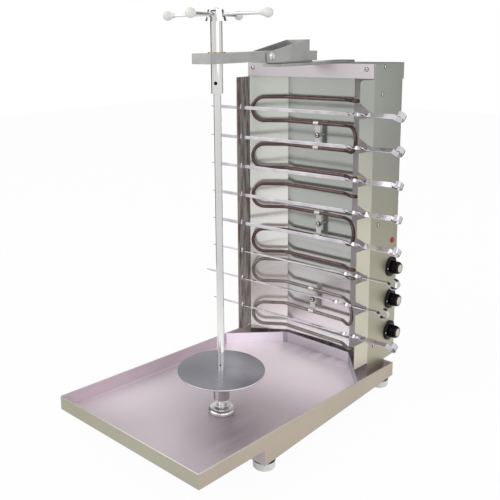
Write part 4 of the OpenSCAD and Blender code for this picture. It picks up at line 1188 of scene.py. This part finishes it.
# %% [markdown]
# ## Pin holes
#
# The sleeve and the rod have a cross hole for a locking pin. The sleeve's hole is wider than its
# pin, so a copy of the sleeve is bored out. The inside of each hole is painted shade: a thin
# dark cup, open at its outer end, lines each hole and rides with the piece that is drilled.

# %% The bored sleeve and the painted shade in the holes
SLEEVE_HOLE_R = 3.4
ROD_HOLE_R = 1.75
PIN_ANGLE = -62
SLEEVE_PIN_Z = 700
ROD_PIN_Z = 152
DRILL_REACH = 30
CUP_WALL = 0.15
CUP_FLOOR = 0.3
CUP_STEPS = 24
CUP_GAP = 0.05
SHADE_CUPS = {"sleeve": (SLEEVE_PIN_Z, SLEEVE_HOLE_R - CUP_GAP, 10.4, 2.6, "handle"),
           "rod": (ROD_PIN_Z, ROD_HOLE_R, 6.7, 3.0, "spit")}
spit_low, spit_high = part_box("spit_rod")
SPIT_X = (spit_low.x + spit_high.x) / 2
SPIT_Y = (spit_low.y + spit_high.y) / 2


def along_pin(height_mm, azimuth):
    """Places a turned piece so that it points outwards from the spit's axis."""
    return (Matrix.Translation((SPIT_X, SPIT_Y, height_mm / 1000)) @
            Matrix.Rotation(math.radians(azimuth), 4, "Z") @
            Matrix.Rotation(math.radians(90), 4, "Y"))


def bored_copy(node_name, radius, height_mm, azimuth):
    mesh = plain_copy(node_name)
    work = welded(mesh)
    work.to_mesh(mesh)
    work.free()
    drill = turned("drill", [(radius, -DRILL_REACH), (radius, DRILL_REACH)])
    drill.transform(along_pin(height_mm, azimuth))
    done = cut_out(put(node_name + "_uncut", mesh), put("drill", drill), node_name + "_bored")
    done.materials.append(nodes[node_name].data.materials[0])
    return stand_in(node_name + "_bored", done, node_name)


def painted_shade_cup(name, azimuth, height_mm, radius, start, depth, body):
    """A dark cup of painted shade from start to start - depth, both measured from the spit's
    axis in mm.
    """
    inner = radius - CUP_WALL
    cup = turned(name, [(inner, start - depth + CUP_FLOOR), (inner, start),
                        (radius, start), (radius, start - depth)], CUP_STEPS)
    cup.transform(along_pin(height_mm, azimuth))
    cup.materials.append(finish["hole_painted_shade"])
    shade_cup = put(name, cup)
    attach(shade_cup, body)


sleeve = bored_copy("handle_tube", SLEEVE_HOLE_R, SLEEVE_PIN_Z, PIN_ANGLE)
for side in (0, 180):
    for piece, values in SHADE_CUPS.items():
        painted_shade_cup("%s_pin_hole_%d" % (piece, side), PIN_ANGLE + side, *values)
print("sleeve faces:", len(sleeve.data.polygons), "hole linings:", 2 * len(SHADE_CUPS))
print("spit axis at:", round(SPIT_X, 4), round(SPIT_Y, 4))

# %% [markdown]
# ## Marks on the knobs
#
# Each knob's skirt carries one white dot that points to the front in the off position. A painted
# dot has a little height, so it is a shallow turned drop and not a patch of colour, and it rides
# with its knob.

# %% Knob dots
DOT_PROFILE = [(1.5, -0.4), (1.5, 0.1), (1.1, 0.35), (0.4, 0.45)]
DOT_STEPS = 20
DOT_TO_AXIS = 0.0195
KNOB_GAP = 0.0006
SKIRT_T = 0.0045
skirt_x = max(v.co.x for v in nodes["right_side_panel"].data.vertices) + KNOB_GAP + SKIRT_T
for n in (1, 2, 3):
    low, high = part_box("knob_%d" % n)
    centre = (low + high) / 2
    drop = turned("knob_mark_%d" % n, DOT_PROFILE, DOT_STEPS)
    drop.transform(Matrix.Translation((skirt_x, centre.y - DOT_TO_AXIS, centre.z)) @
                   Matrix.Rotation(math.radians(90), 4, "Y"))
    drop.materials.append(finish["mark_white"])
    mark = put("knob_mark_%d" % n, drop)
    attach(mark, "knob_%d" % n)
print("face of the knobs' skirts at x =", round(skirt_x, 4))

# %% [markdown]
# ## Sizes
#
# The grill has to fit the space of its frame. So the outer box is measured now that every piece
# is dressed.

# %% Sizes
low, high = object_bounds()
print("outer size in metres:", [round(side, 4) for side in high - low])
